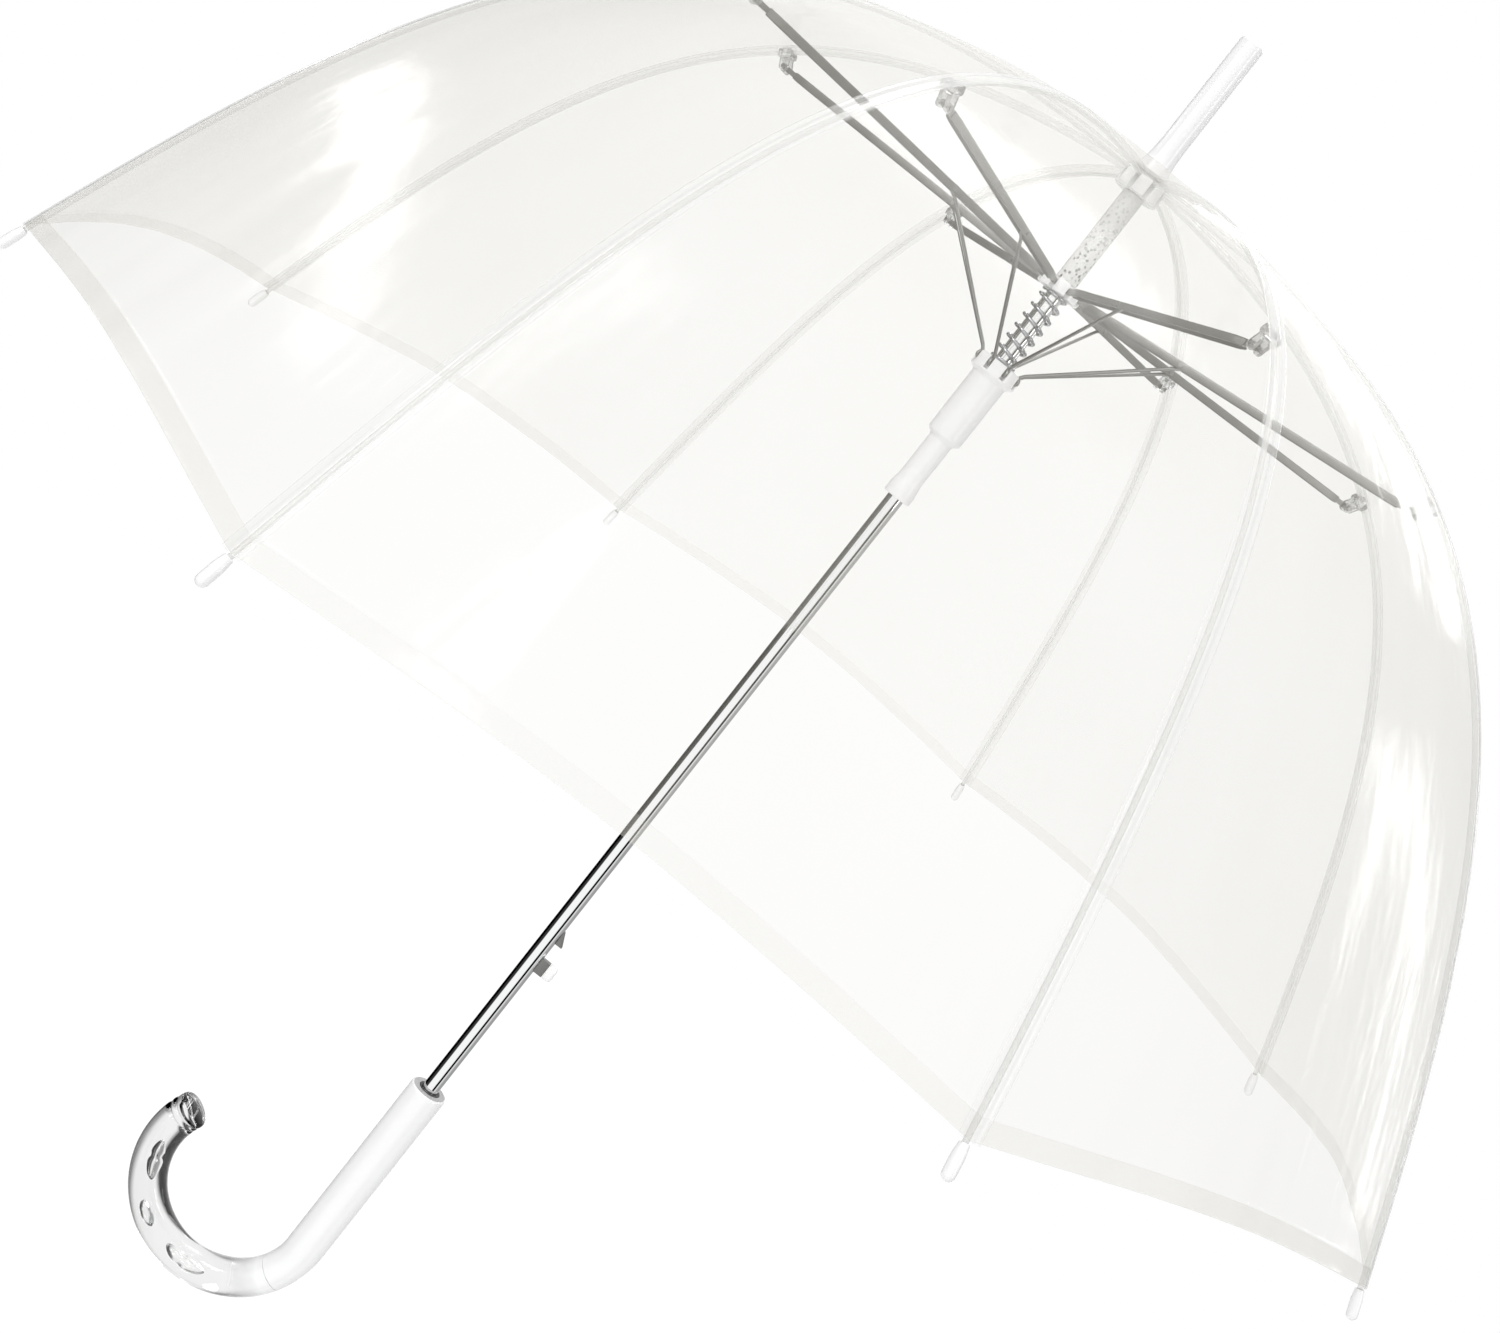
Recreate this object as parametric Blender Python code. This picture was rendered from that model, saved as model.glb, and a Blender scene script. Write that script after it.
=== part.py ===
"""A clear bubble umbrella with a spring-opened frame, modelled open.

Frame: +Z runs up the shaft to the ferrule, the hook of the handle points to -X, the release button to +X.
The origin is on the shaft's axis, at the middle of the straight grip. Metres throughout.

Each rib station is modelled once in the XZ plane (X is the radius, Y the sideways direction) and
set round the shaft eight times. A moving piece has its origin on its own hinge.
"""

from math import asin, atan2, cos, hypot, pi, radians, sin, tau

import bmesh
import bpy
from mathutils import Matrix, Vector

# ---- driving dimensions -------------------------------------------------------------------------

GAP = 0.0003  # left between pieces that touch

STATIONS = 8  # ribs, and the panels between them
STATION_ANGLE = tau / STATIONS
FIRST_RIB = STATION_ANGLE / 2  # ribs stand either side of the axes, so a panel faces +X

# the dome: one curve from the crown to the rib tips, level at the top and steep at the hem
HEM_Z = 0.319
DOME_RADIUS = 0.425
DOME_HEIGHT = 0.360
CROWN_REACH = 0.260
HEM_REACH = 0.250
HEM_SLOPE = radians(68)
PANEL_FLATNESS = 0.55  # 0 is a round dome, 1 has flat panels between the ribs
FILM = 0.0006
FILM_INNER_RADIUS = 0.0118
HEM_AT = 0.9833  # share of the dome's curve where the film ends beside a rib
SCALLOP = 0.0155  # how much sooner it ends at the middle of a panel
UPPER_ROWS, LOWER_ROWS = 5, 9  # above and below the ribs' joints
FILM_COLUMNS = 4

# ribs
ROD_RADIUS = 0.00125
ROD_DEPTH = 0.0026  # from the dome's outer skin to the middle of the rod
ROD_SIDES = 6
CROWN_PIVOT_RADIUS = 0.010
JOINT_AT = 0.3735  # share of the dome's curve where the rib's two rods meet
CLIP_BACK, CLIP_FRONT = 0.0085, 0.0005  # the clip's ends, measured back from that joint
CLIP_WIDTH = 0.0080
CLIP_TOP, CLIP_FLOOR = 0.0009, 0.0034
PIN_BACK, PIN_DROP = 0.0045, 0.0088  # the stretcher's pin, behind and under the joint
EAR_RADIUS = 0.0028
EAR_INNER, EAR_OUTER = 0.0014, 0.0033
OUTER_ROD_START = 0.0018
ROD_END = 0.003  # how far before the end of the dome's curve the outer rod stops
TIP_LENGTH = 0.0145
TIP_RADIUS = 0.0027
TIP_SOCKET = 0.0085

# shaft, crown and ferrule
SHAFT_RADIUS = 0.0048
SHAFT_BORE = 0.0041
SHAFT_BOTTOM, SHAFT_TOP = -0.040, 0.705
BORE_RADIUS = SHAFT_RADIUS + GAP
FERRULE_BASE_Z, FERRULE_TOP_Z = 0.6794, 0.762
FERRULE_BASE_RADIUS, FERRULE_RADIUS = 0.0098, 0.0069
CROWN_BOTTOM, CROWN_TOP = 0.6680, 0.6776
CROWN_RADIUS, CROWN_NECK = 0.0128, 0.0086
SLEEVE_RADIUS = 0.0062
SLEEVE_BOTTOM = 0.6131

# runners, spring, stretchers and struts
UPPER_PIVOT = Vector((0.0100, 0, 0.6090))
UPPER_HALF_HEIGHT = 0.0035
UPPER_RADIUS = 0.0128
STRUT_REACH = 0.068  # from the stretcher's inner pin to the strut's
LOWER_PIVOT = Vector((0.0125, 0, 0.5575))
LOWER_TOP, LOWER_FLANGE_BOTTOM = 0.5605, 0.5525
LOWER_FLANGE_RADIUS = 0.0136
BARREL_RADIUS, BARREL_BOTTOM = 0.0102, 0.5140
NECK_RADIUS = 0.0070
FLARE_RADIUS, FLARE_TOP, LOWER_BOTTOM = 0.0080, 0.4850, 0.4731
WINDOW_BOTTOM, WINDOW_TOP, WINDOW_WIDTH = 0.4785, 0.4970, 0.0036
SLOT_ROOT = 0.0066
SLOT_WIDTH = 0.0028
SPRING_TURNS = 7.5
SPRING_RADIUS, WIRE_RADIUS = 0.0069, 0.0008
CHANNEL_HALF_WIDTH, CHANNEL_WALL = 0.00275, 0.0006
CHANNEL_TOP, CHANNEL_LIP = 0.0019, 0.0021
CHANNEL_START, CHANNEL_END = 0.0075, 0.0085  # short of the inner and the outer pin
TONGUE_HALF_WIDTH, TONGUE_HALF_HEIGHT = 0.0010, 0.0012
STRUT_RADIUS = 0.0009

# catch and release button, both in slots on the shaft's +X side
CATCH_LEDGE_Z, CATCH_TOP_Z = 0.1690, 0.1780
CATCH_TIP_X, CATCH_BACK_X = 0.0089, 0.0005
CATCH_WIDTH = 0.0022
STEM_Z, STEM_HEIGHT, STEM_WIDTH = 0.1540, 0.0090, 0.0040
STEM_TIP_X, STEM_BACK_X = 0.0098, 0.0012
CAP_TIP_X, CAP_RADIUS = 0.0153, 0.0050

# handle
GRIP_RADIUS, GRIP_TOP = 0.0112, 0.0587
GRIP_SOCKET_BOTTOM = -0.0415
HOOK_RADIUS = 0.0510
HOOK_CENTRE = Vector((-HOOK_RADIUS, 0, -0.0590))
HOOK_TUBE_RADIUS = 0.0108
GRIP_TURN = radians(28)  # how far round the hook the white grip goes
HOOK_TURN = radians(207)


# ---- meshes -------------------------------------------------------------------------------------


def clear_scene():
    for old in list(bpy.context.scene.objects):
        bpy.data.objects.remove(old, do_unlink=True)


def finish_mesh(bm, name, smooth_angle=radians(35)):
    bmesh.ops.recalc_face_normals(bm, faces=bm.faces)
    mesh = bpy.data.meshes.new(name)
    bm.to_mesh(mesh)
    bm.free()
    mesh.shade_smooth()
    mesh.set_sharp_from_angle(angle=smooth_angle)
    return mesh


def bridge_rings(bm, rings, closed):
    """Joins rings of vertices in order, and the last to the first when closed."""
    pairs = list(zip(rings, rings[1:]))
    if closed:
        pairs.append((rings[-1], rings[0]))
    for low, high in pairs:
        count = len(low)
        for i in range(count):
            j = (i + 1) % count
            bm.faces.new((low[i], low[j], high[j], high[i]))


def turned(name, profile, sides, bored=True):
    """Turns (radius, height) points round Z: a closed outline with a bore, or a solid with flat ends."""
    bm = bmesh.new()
    rings = [
        [bm.verts.new((r * cos(tau * i / sides), r * sin(tau * i / sides), z)) for i in range(sides)]
        for r, z in profile
    ]
    bridge_rings(bm, rings, closed=bored)
    if not bored:
        bm.faces.new(rings[0])
        bm.faces.new(rings[-1])
    return finish_mesh(bm, name)


def swept(name, path, radius, sides, lead=None, tail=None):
    """A round bar along a path in the XZ plane. Radius is a number or a list.

    Lead and tail are points of the curve beyond the path's ends, which set how its end faces lie.
    """
    bm = bmesh.new()
    sideways = Vector((0, 1, 0))
    radii = radius if isinstance(radius, list) else [radius] * len(path)
    guide = [lead or path[0], *path, tail or path[-1]]
    rings = []
    for i, point in enumerate(path):
        across = sideways.cross(guide[i + 2] - guide[i]).normalized()
        rings.append(
            [
                bm.verts.new(point + radii[i] * (across * cos(a) + sideways * sin(a)))
                for a in (tau * (k + 0.5) / sides for k in range(sides))
            ]
        )
    bridge_rings(bm, rings, closed=False)
    bm.faces.new(rings[0])
    bm.faces.new(rings[-1])
    return finish_mesh(bm, name)


def extruded(name, outline, near, far):
    """Extrudes an XZ outline along Y, from near to far."""
    bm = bmesh.new()
    face = bm.faces.new([bm.verts.new((x, near, z)) for x, z in outline])
    sides = bmesh.ops.extrude_face_region(bm, geom=[face])["geom"]
    moved = [v for v in sides if isinstance(v, bmesh.types.BMVert)]
    bmesh.ops.translate(bm, verts=moved, vec=(0, far - near, 0))
    return finish_mesh(bm, name)


def block(name, low, high):
    """A box between two corners."""
    outline = [(low[0], low[2]), (high[0], low[2]), (high[0], high[2]), (low[0], high[2])]
    return extruded(name, outline, low[1], high[1])


def combined(name, base, others, operation):
    """Joins or cuts base with other meshes by exact booleans and returns the result as one mesh."""
    holder = bpy.data.objects.new(name, base)
    bpy.context.collection.objects.link(holder)
    helpers = []
    for other in others:
        helper = bpy.data.objects.new(name + "_helper", other)
        bpy.context.collection.objects.link(helper)
        helpers.append(helper)
        step = holder.modifiers.new("boolean", "BOOLEAN")
        step.object = helper
        step.operation = operation
        step.solver = "EXACT"
    graph = bpy.context.evaluated_depsgraph_get()
    result = bpy.data.meshes.new_from_object(holder.evaluated_get(graph), depsgraph=graph)
    for used in [holder, *helpers]:
        bpy.data.objects.remove(used, do_unlink=True)
    result.name = name
    result.set_sharp_from_angle(angle=radians(35))
    return result


def joined(name, base, *others):
    return combined(name, base, others, "UNION")


def cut(name, base, *others):
    return combined(name, base, others, "DIFFERENCE")


def placed(mesh, angle=0.0, offset=Vector((0, 0, 0)), tilt=0.0):
    """Tilts a mesh in the XZ plane, moves it, and then turns it round Z."""
    mesh.transform(Matrix.Rotation(-tilt, 4, "Y"))
    mesh.transform(Matrix.Translation(offset))
    mesh.transform(Matrix.Rotation(angle, 4, "Z"))
    return mesh


def rib_angle(k):
    return FIRST_RIB + k * STATION_ANGLE


def turned_about_z(point, angle):
    return Matrix.Rotation(angle, 3, "Z") @ point


# ---- materials and objects ----------------------------------------------------------------------


def make_material(name, colour, roughness, metallic=0.0, transmission=0.0):
    made = bpy.data.materials.new(name)
    made.use_nodes = True
    shader = made.node_tree.nodes["Principled BSDF"]
    shader.inputs["Base Color"].default_value = (*colour, 1)
    shader.inputs["Roughness"].default_value = roughness
    shader.inputs["Metallic"].default_value = metallic
    shader.inputs["Transmission Weight"].default_value = transmission
    made.diffuse_color = (*colour, 1)
    return made


def make_materials():
    return {
        "film": make_material("clear_film", (0.93, 0.94, 0.95), 0.08, transmission=0.9),
        "rod": make_material("clear_rib", (0.86, 0.87, 0.88), 0.15, transmission=0.6),
        "white": make_material("white_plastic", (0.92, 0.92, 0.93), 0.25),
        "sleeve": make_material("frosted_plastic", (0.88, 0.89, 0.90), 0.40, transmission=0.4),
        "steel": make_material("grey_steel", (0.30, 0.30, 0.29), 0.38, metallic=1.0),
        "spring": make_material("spring_steel", (0.55, 0.56, 0.58), 0.22, metallic=1.0),
        "chrome": make_material("chrome", (0.80, 0.81, 0.83), 0.06, metallic=1.0),
        "acrylic": make_material("clear_acrylic", (0.90, 0.91, 0.92), 0.05, transmission=0.9),
    }


def add(name, mesh, material, location=Vector((0, 0, 0)), angle=0.0):
    """One named object; the mesh may be shared with others."""
    node = bpy.data.objects.new(name, mesh)
    bpy.context.collection.objects.link(node)
    node.location = location
    node.rotation_euler.z = angle
    if not mesh.materials:
        mesh.materials.append(material)
    return node


def set_round(stem, mesh, hinge, material):
    """Eight copies of a piece of the rib station, each with its origin on its own hinge."""
    mesh.transform(Matrix.Translation(-hinge))
    for k in range(STATIONS):
        angle = rib_angle(k)
        add(f"{stem}_{k + 1}", mesh, material, turned_about_z(hinge, angle), angle)


# ---- the dome's curve ---------------------------------------------------------------------------


def dome_points():
    """The four control points of the dome's curve, as (radius, height)."""
    top = HEM_Z + DOME_HEIGHT
    return (
        Vector((0, top)),
        Vector((CROWN_REACH, top)),
        Vector((DOME_RADIUS - HEM_REACH * cos(HEM_SLOPE), HEM_Z + HEM_REACH * sin(HEM_SLOPE))),
        Vector((DOME_RADIUS, HEM_Z)),
    )


def dome(t, depth=0.0):
    """The point at share t of the dome's curve, moved in from the outer skin by depth."""
    a, b, c, d = dome_points()
    s = 1 - t
    point = s**3 * a + 3 * s * s * t * b + 3 * s * t * t * c + t**3 * d
    return point - depth * dome_normal(t)


def dome_tangent(t):
    a, b, c, d = dome_points()
    s = 1 - t
    return (s * s * (b - a) + 2 * s * t * (c - b) + t * t * (d - c)).normalized()


def dome_normal(t):
    tangent = dome_tangent(t)
    return Vector((-tangent.y, tangent.x))


def in_plane(flat):
    """A (radius, height) pair as a point of the station's XZ plane."""
    return Vector((flat.x, 0, flat.y))


def share_at_radius(radius, depth):
    """The share of the curve at which it reaches a radius, by bisection."""
    low, high = 0.0, 1.0
    for _ in range(50):
        middle = (low + high) / 2
        low, high = (middle, high) if dome(middle, depth).x < radius else (low, middle)
    return low


def spaced(start, end, count):
    return [start + (end - start) * i / count for i in range(count + 1)]


def rib_joint():
    """Where the rib's two rods meet, the curve's direction there and its outward normal."""
    return dome(JOINT_AT, ROD_DEPTH), dome_tangent(JOINT_AT), dome_normal(JOINT_AT)


def stretcher_pin():
    """The pin that holds the stretcher's outer end to the clip."""
    joint, tangent, normal = rib_joint()
    return in_plane(joint - PIN_BACK * tangent - PIN_DROP * normal)


# ---- canopy -------------------------------------------------------------------------------------


def panel_point(t, side, depth):
    """A point of a panel that faces +X; side runs from -1 at one rib to 1 at the next."""
    flat = dome(t, depth)
    edge = STATION_ANGLE / 2 - asin(GAP / 2 / flat.x)
    angle = side * edge
    pull = 1 - PANEL_FLATNESS * (1 - cos(edge) / cos(angle))
    return Vector((flat.x * pull * cos(angle), flat.x * pull * sin(angle), flat.y))


def film_shares(side=1):
    """The shares of the curve that a panel's rows follow, down to the scalloped hem."""
    start = share_at_radius(FILM_INNER_RADIUS, 0.0)
    hem = HEM_AT - SCALLOP * cos(side * pi / 2)
    return spaced(start, JOINT_AT, UPPER_ROWS) + spaced(JOINT_AT, hem, LOWER_ROWS)[1:]


def panel_mesh():
    bm = bmesh.new()
    sides = spaced(-1, 1, FILM_COLUMNS)

    def grid(depth):
        columns = [
            [bm.verts.new(panel_point(t, side, depth)) for t in film_shares(side)] for side in sides
        ]
        return [list(row) for row in zip(*columns)]

    skins = (grid(0.0), grid(FILM))
    for rows in skins:
        for upper, lower in zip(rows, rows[1:]):
            for i in range(FILM_COLUMNS):
                bm.faces.new((upper[i], upper[i + 1], lower[i + 1], lower[i]))

    def rim(rows):
        return (
            rows[0]
            + [row[-1] for row in rows[1:]]
            + rows[-1][-2::-1]
            + [row[0] for row in rows[-2:0:-1]]
        )

    bridge_rings(bm, [rim(skins[0]), rim(skins[1])], closed=False)
    return finish_mesh(bm, "canopy_panel", smooth_angle=radians(60))


def add_canopy(materials):
    mesh = panel_mesh()
    for k in range(STATIONS):
        add(f"canopy_panel_{k + 1}", mesh, materials["film"], angle=(k + 1) * STATION_ANGLE)


# ---- ribs ---------------------------------------------------------------------------------------


def clip_frame(mesh):
    """Sets a mesh drawn along X, with its outer side up, at the rib's joint."""
    joint, tangent, _ = rib_joint()
    return placed(mesh, offset=in_plane(joint), tilt=atan2(tangent.y, tangent.x))


def ear_outline():
    """An ear of the clip, from the block down and round the pin."""
    turn = [
        (-PIN_BACK + EAR_RADIUS * cos(a), -PIN_DROP + EAR_RADIUS * sin(a))
        for a in (pi + pi * i / 5 for i in range(6))
    ]
    return [(-PIN_BACK - EAR_RADIUS, 0)] + turn + [(-PIN_BACK + EAR_RADIUS, 0)]


def inner_rib_mesh():
    start = share_at_radius(CROWN_PIVOT_RADIUS - ROD_RADIUS, ROD_DEPTH)
    joint, tangent, _ = rib_joint()
    path = [in_plane(dome(t, ROD_DEPTH)) for t in [start, *film_shares()[1:UPPER_ROWS]]]
    path.append(in_plane(joint - (CLIP_FRONT + CLIP_BACK) / 2 * tangent))
    rod = swept("rod", path, ROD_RADIUS, ROD_SIDES)
    half = CLIP_WIDTH / 2
    body = clip_frame(block("body", (-CLIP_BACK, -half, -CLIP_FLOOR), (-CLIP_FRONT, half, CLIP_TOP)))
    ears = [
        clip_frame(extruded("ear", ear_outline(), side * EAR_INNER, side * EAR_OUTER)) for side in (-1, 1)
    ]
    return joined("rib_inner", body, rod, *ears)


def outer_rib_path():
    joint, tangent, _ = rib_joint()
    end_share = 1 - ROD_END / HEM_REACH / 3
    shares = [*film_shares()[UPPER_ROWS + 1 :], end_share]
    return [in_plane(joint + OUTER_ROD_START * tangent)] + [in_plane(dome(t, ROD_DEPTH)) for t in shares]


def tip_mesh():
    """A moulded tip on the rod's end: a socket behind, a rounded nose in front."""
    bore = ROD_RADIUS + GAP
    nose = [
        (TIP_RADIUS * cos(a), TIP_LENGTH - TIP_RADIUS + TIP_RADIUS * sin(a))
        for a in (radians(20), radians(55), radians(80))
    ]
    profile = [(TIP_RADIUS * 0.72, 0), (TIP_RADIUS, 0.004), *nose]
    socket = [(bore, -0.001), (bore, TIP_SOCKET)]
    return cut("rib_tip", turned("tip", profile, 8, bored=False), turned("socket", socket, 6, bored=False))


def add_ribs(materials):
    joint, _, _ = rib_joint()
    outer_path = outer_rib_path()
    outer_rod = swept("rib_outer", outer_path, ROD_RADIUS, ROD_SIDES)
    set_round("rib_inner", inner_rib_mesh(), stretcher_pin(), materials["rod"])
    set_round("rib_outer", outer_rod, in_plane(joint), materials["rod"])
    tip = tip_mesh()
    run = (outer_path[-1] - outer_path[-2]).normalized()
    tip.transform(run.to_track_quat("Z", "Y").to_matrix().to_4x4())
    tip.transform(Matrix.Translation(outer_path[-1] - (TIP_SOCKET - GAP) * run))
    set_round("rib_tip", tip, in_plane(joint), materials["white"])


# ---- stretchers and struts ----------------------------------------------------------------------


def tongue(name, pin_x, root_x):
    """A flat end from a round nose at the pin to its root inside the channel."""
    toward = 1 if root_x > pin_x else -1
    nose = [
        (pin_x - toward * TONGUE_HALF_HEIGHT * sin(a), TONGUE_HALF_HEIGHT * cos(a))
        for a in (pi * i / 4 for i in range(5))
    ]
    top = CHANNEL_TOP - CHANNEL_WALL / 2
    outline = [(root_x, top), (pin_x + toward * 0.004, top), *nose, (root_x, -TONGUE_HALF_HEIGHT)]
    return extruded(name, outline, -TONGUE_HALF_WIDTH, TONGUE_HALF_WIDTH)


def channel(start, end):
    """A U-section along X, open downwards."""
    bm = bmesh.new()
    out, wall = CHANNEL_HALF_WIDTH, CHANNEL_WALL
    section = [
        (-out, -CHANNEL_LIP),
        (-out, CHANNEL_TOP),
        (out, CHANNEL_TOP),
        (out, -CHANNEL_LIP),
        (out - wall, -CHANNEL_LIP),
        (out - wall, CHANNEL_TOP - wall),
        (wall - out, CHANNEL_TOP - wall),
        (wall - out, -CHANNEL_LIP),
    ]
    rings = [[bm.verts.new((x, y, z)) for y, z in section] for x in (start, end)]
    bridge_rings(bm, rings, closed=False)
    for ring in rings:
        bm.faces.new(ring)
    return finish_mesh(bm, "channel")


def stretcher_mesh():
    """Drawn along X from the inner pin, then laid from the upper runner to the clip."""
    reach = stretcher_pin() - UPPER_PIVOT
    length = hypot(reach.x, reach.z)
    overlap = 0.006
    mesh = joined(
        "stretcher",
        channel(CHANNEL_START, length - CHANNEL_END),
        tongue("inner", 0, CHANNEL_START + overlap),
        tongue("outer", length, length - CHANNEL_END - overlap),
    )
    return placed(mesh, offset=UPPER_PIVOT, tilt=atan2(reach.z, reach.x))


def strut_pin():
    """Where the strut hangs from the stretcher."""
    return UPPER_PIVOT + (stretcher_pin() - UPPER_PIVOT).normalized() * STRUT_REACH


def strut_mesh():
    run = (LOWER_PIVOT - strut_pin()).normalized()
    eye = 0.0011
    path = [
        strut_pin() - run * STRUT_RADIUS,
        strut_pin() + run * 0.003,
        LOWER_PIVOT - run * 0.003,
        LOWER_PIVOT + run * STRUT_RADIUS,
    ]
    return swept("strut", path, [eye, STRUT_RADIUS, STRUT_RADIUS, eye], ROD_SIDES)


def add_linkage(materials):
    set_round("stretcher", stretcher_mesh(), UPPER_PIVOT.copy(), materials["steel"])
    set_round("strut", strut_mesh(), strut_pin(), materials["steel"])


# ---- shaft, crown, ferrule and sleeve -----------------------------------------------------------


def slot_cutters(root, reach, bottom, top):
    """One narrow block for each rib, cutting from root radius outwards."""
    half = SLOT_WIDTH / 2
    return [
        placed(block("slot", (root, -half, bottom), (reach, half, top)), angle=rib_angle(k))
        for k in range(STATIONS)
    ]


def shaft_mesh():
    profile = [
        (SHAFT_BORE, SHAFT_BOTTOM),
        (SHAFT_RADIUS, SHAFT_BOTTOM),
        (SHAFT_RADIUS, SHAFT_TOP),
        (SHAFT_BORE, SHAFT_TOP),
    ]
    half_catch, half_stem = CATCH_WIDTH / 2 + GAP, STEM_WIDTH / 2 + GAP
    catch_slot = block(
        "catch_slot", (0, -half_catch, CATCH_LEDGE_Z - GAP), (0.008, half_catch, CATCH_TOP_Z + 0.001)
    )
    stem_slot = block(
        "stem_slot",
        (0, -half_stem, STEM_Z - STEM_HEIGHT / 2 - GAP),
        (0.008, half_stem, STEM_Z + STEM_HEIGHT / 2 + GAP),
    )
    return cut("shaft", turned("tube", profile, 24), catch_slot, stem_slot)


def crown_mesh():
    profile = [
        (BORE_RADIUS, CROWN_BOTTOM),
        (CROWN_RADIUS - 0.0008, CROWN_BOTTOM),
        (CROWN_RADIUS, CROWN_BOTTOM + 0.0008),
        (CROWN_RADIUS, CROWN_TOP - 0.0008),
        (CROWN_RADIUS - 0.0008, CROWN_TOP),
        (CROWN_NECK, CROWN_TOP),
        (CROWN_NECK, FERRULE_BASE_Z - GAP),
        (BORE_RADIUS, FERRULE_BASE_Z - GAP),
    ]
    slots = slot_cutters(SLOT_ROOT, CROWN_RADIUS + 0.002, CROWN_BOTTOM - 0.001, CROWN_TOP + 0.0005)
    return cut("crown", turned("crown", profile, 24), *slots)


def ferrule_mesh():
    rise = FERRULE_BASE_Z
    profile = [
        (FERRULE_BASE_RADIUS, rise),
        (FERRULE_BASE_RADIUS, rise + 0.0012),
        (FERRULE_BASE_RADIUS - 0.0014, rise + 0.005),
        (FERRULE_RADIUS + 0.0006, rise + 0.011),
        (FERRULE_RADIUS + 0.0001, rise + 0.018),
        (FERRULE_RADIUS, rise + 0.030),
        (FERRULE_RADIUS, FERRULE_TOP_Z - 0.0018),
        (FERRULE_RADIUS - 0.0016, FERRULE_TOP_Z),
    ]
    body = turned("body", profile, 24, bored=False)
    bore = turned("bore", [(BORE_RADIUS, rise - 0.001), (BORE_RADIUS, SHAFT_TOP + 0.001)], 24, bored=False)
    return cut("ferrule", body, bore)


def sleeve_mesh():
    top = CROWN_BOTTOM - GAP
    profile = [
        (BORE_RADIUS, SLEEVE_BOTTOM),
        (SLEEVE_RADIUS, SLEEVE_BOTTOM),
        (SLEEVE_RADIUS, top),
        (BORE_RADIUS, top),
    ]
    return turned("spacer_sleeve", profile, 20)


def add_shaft_group(materials):
    add("shaft", shaft_mesh(), materials["chrome"])
    add("crown", crown_mesh(), materials["white"])
    add("ferrule", ferrule_mesh(), materials["white"])
    add("spacer_sleeve", sleeve_mesh(), materials["sleeve"])


# ---- runners and spring -------------------------------------------------------------------------


def upper_runner_mesh():
    low, high = UPPER_PIVOT.z - UPPER_HALF_HEIGHT, UPPER_PIVOT.z + UPPER_HALF_HEIGHT
    profile = [
        (BORE_RADIUS, low),
        (UPPER_RADIUS - 0.0010, low),
        (UPPER_RADIUS, low + 0.0010),
        (UPPER_RADIUS, high - 0.0010),
        (UPPER_RADIUS - 0.0010, high),
        (BORE_RADIUS, high),
    ]
    slots = slot_cutters(SLOT_ROOT, UPPER_RADIUS + 0.002, low - 0.001, high + 0.001)
    return cut("upper_runner", turned("disc", profile, 24), *slots)


def lower_runner_mesh():
    profile = [
        (BORE_RADIUS, LOWER_BOTTOM),
        (FLARE_RADIUS, LOWER_BOTTOM),
        (FLARE_RADIUS, FLARE_TOP - 0.006),
        (NECK_RADIUS, FLARE_TOP),
        (NECK_RADIUS, BARREL_BOTTOM - 0.003),
        (BARREL_RADIUS - 0.0008, BARREL_BOTTOM),
        (BARREL_RADIUS, BARREL_BOTTOM + 0.001),
        (BARREL_RADIUS, LOWER_FLANGE_BOTTOM - 0.002),
        (LOWER_FLANGE_RADIUS, LOWER_FLANGE_BOTTOM),
        (LOWER_FLANGE_RADIUS, LOWER_TOP),
        (BORE_RADIUS, LOWER_TOP),
    ]
    slots = slot_cutters(
        LOWER_PIVOT.x - 0.0025, LOWER_FLANGE_RADIUS + 0.002, LOWER_FLANGE_BOTTOM + 0.0008, LOWER_TOP + 0.001
    )
    window = block(
        "window", (0, -WINDOW_WIDTH / 2, WINDOW_BOTTOM), (BARREL_RADIUS, WINDOW_WIDTH / 2, WINDOW_TOP)
    )
    return cut("lower_runner", turned("barrel", profile, 24), *slots, window)


def spring_mesh():
    """A compression spring between the two runners."""
    low = LOWER_TOP + GAP + WIRE_RADIUS
    high = UPPER_PIVOT.z - UPPER_HALF_HEIGHT - GAP - WIRE_RADIUS
    steps = int(SPRING_TURNS * 12)
    bm = bmesh.new()
    rings = []
    for i in range(steps + 1):
        angle = tau * SPRING_TURNS * i / steps
        outward = Vector((cos(angle), sin(angle), 0))
        centre = outward * SPRING_RADIUS + Vector((0, 0, low + (high - low) * i / steps))
        rings.append(
            [
                bm.verts.new(centre + WIRE_RADIUS * (outward * cos(a) + Vector((0, 0, 1)) * sin(a)))
                for a in (tau * k / 5 for k in range(5))
            ]
        )
    bridge_rings(bm, rings, closed=False)
    bm.faces.new(rings[0])
    bm.faces.new(rings[-1])
    return finish_mesh(bm, "main_spring")


def add_runners(materials):
    add("upper_runner", upper_runner_mesh(), materials["white"])
    add("lower_runner", lower_runner_mesh(), materials["white"])
    add("main_spring", spring_mesh(), materials["spring"])


# ---- catch and button ---------------------------------------------------------------------------


def catch_mesh():
    """A fin that slopes out from the shaft and ends in a flat ledge that faces the handle."""
    outline = [
        (CATCH_BACK_X, CATCH_LEDGE_Z),
        (CATCH_TIP_X, CATCH_LEDGE_Z),
        (SHAFT_RADIUS + 0.0002, CATCH_TOP_Z),
        (CATCH_BACK_X, CATCH_TOP_Z),
    ]
    return extruded("latch_catch", outline, -CATCH_WIDTH / 2, CATCH_WIDTH / 2)


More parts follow.
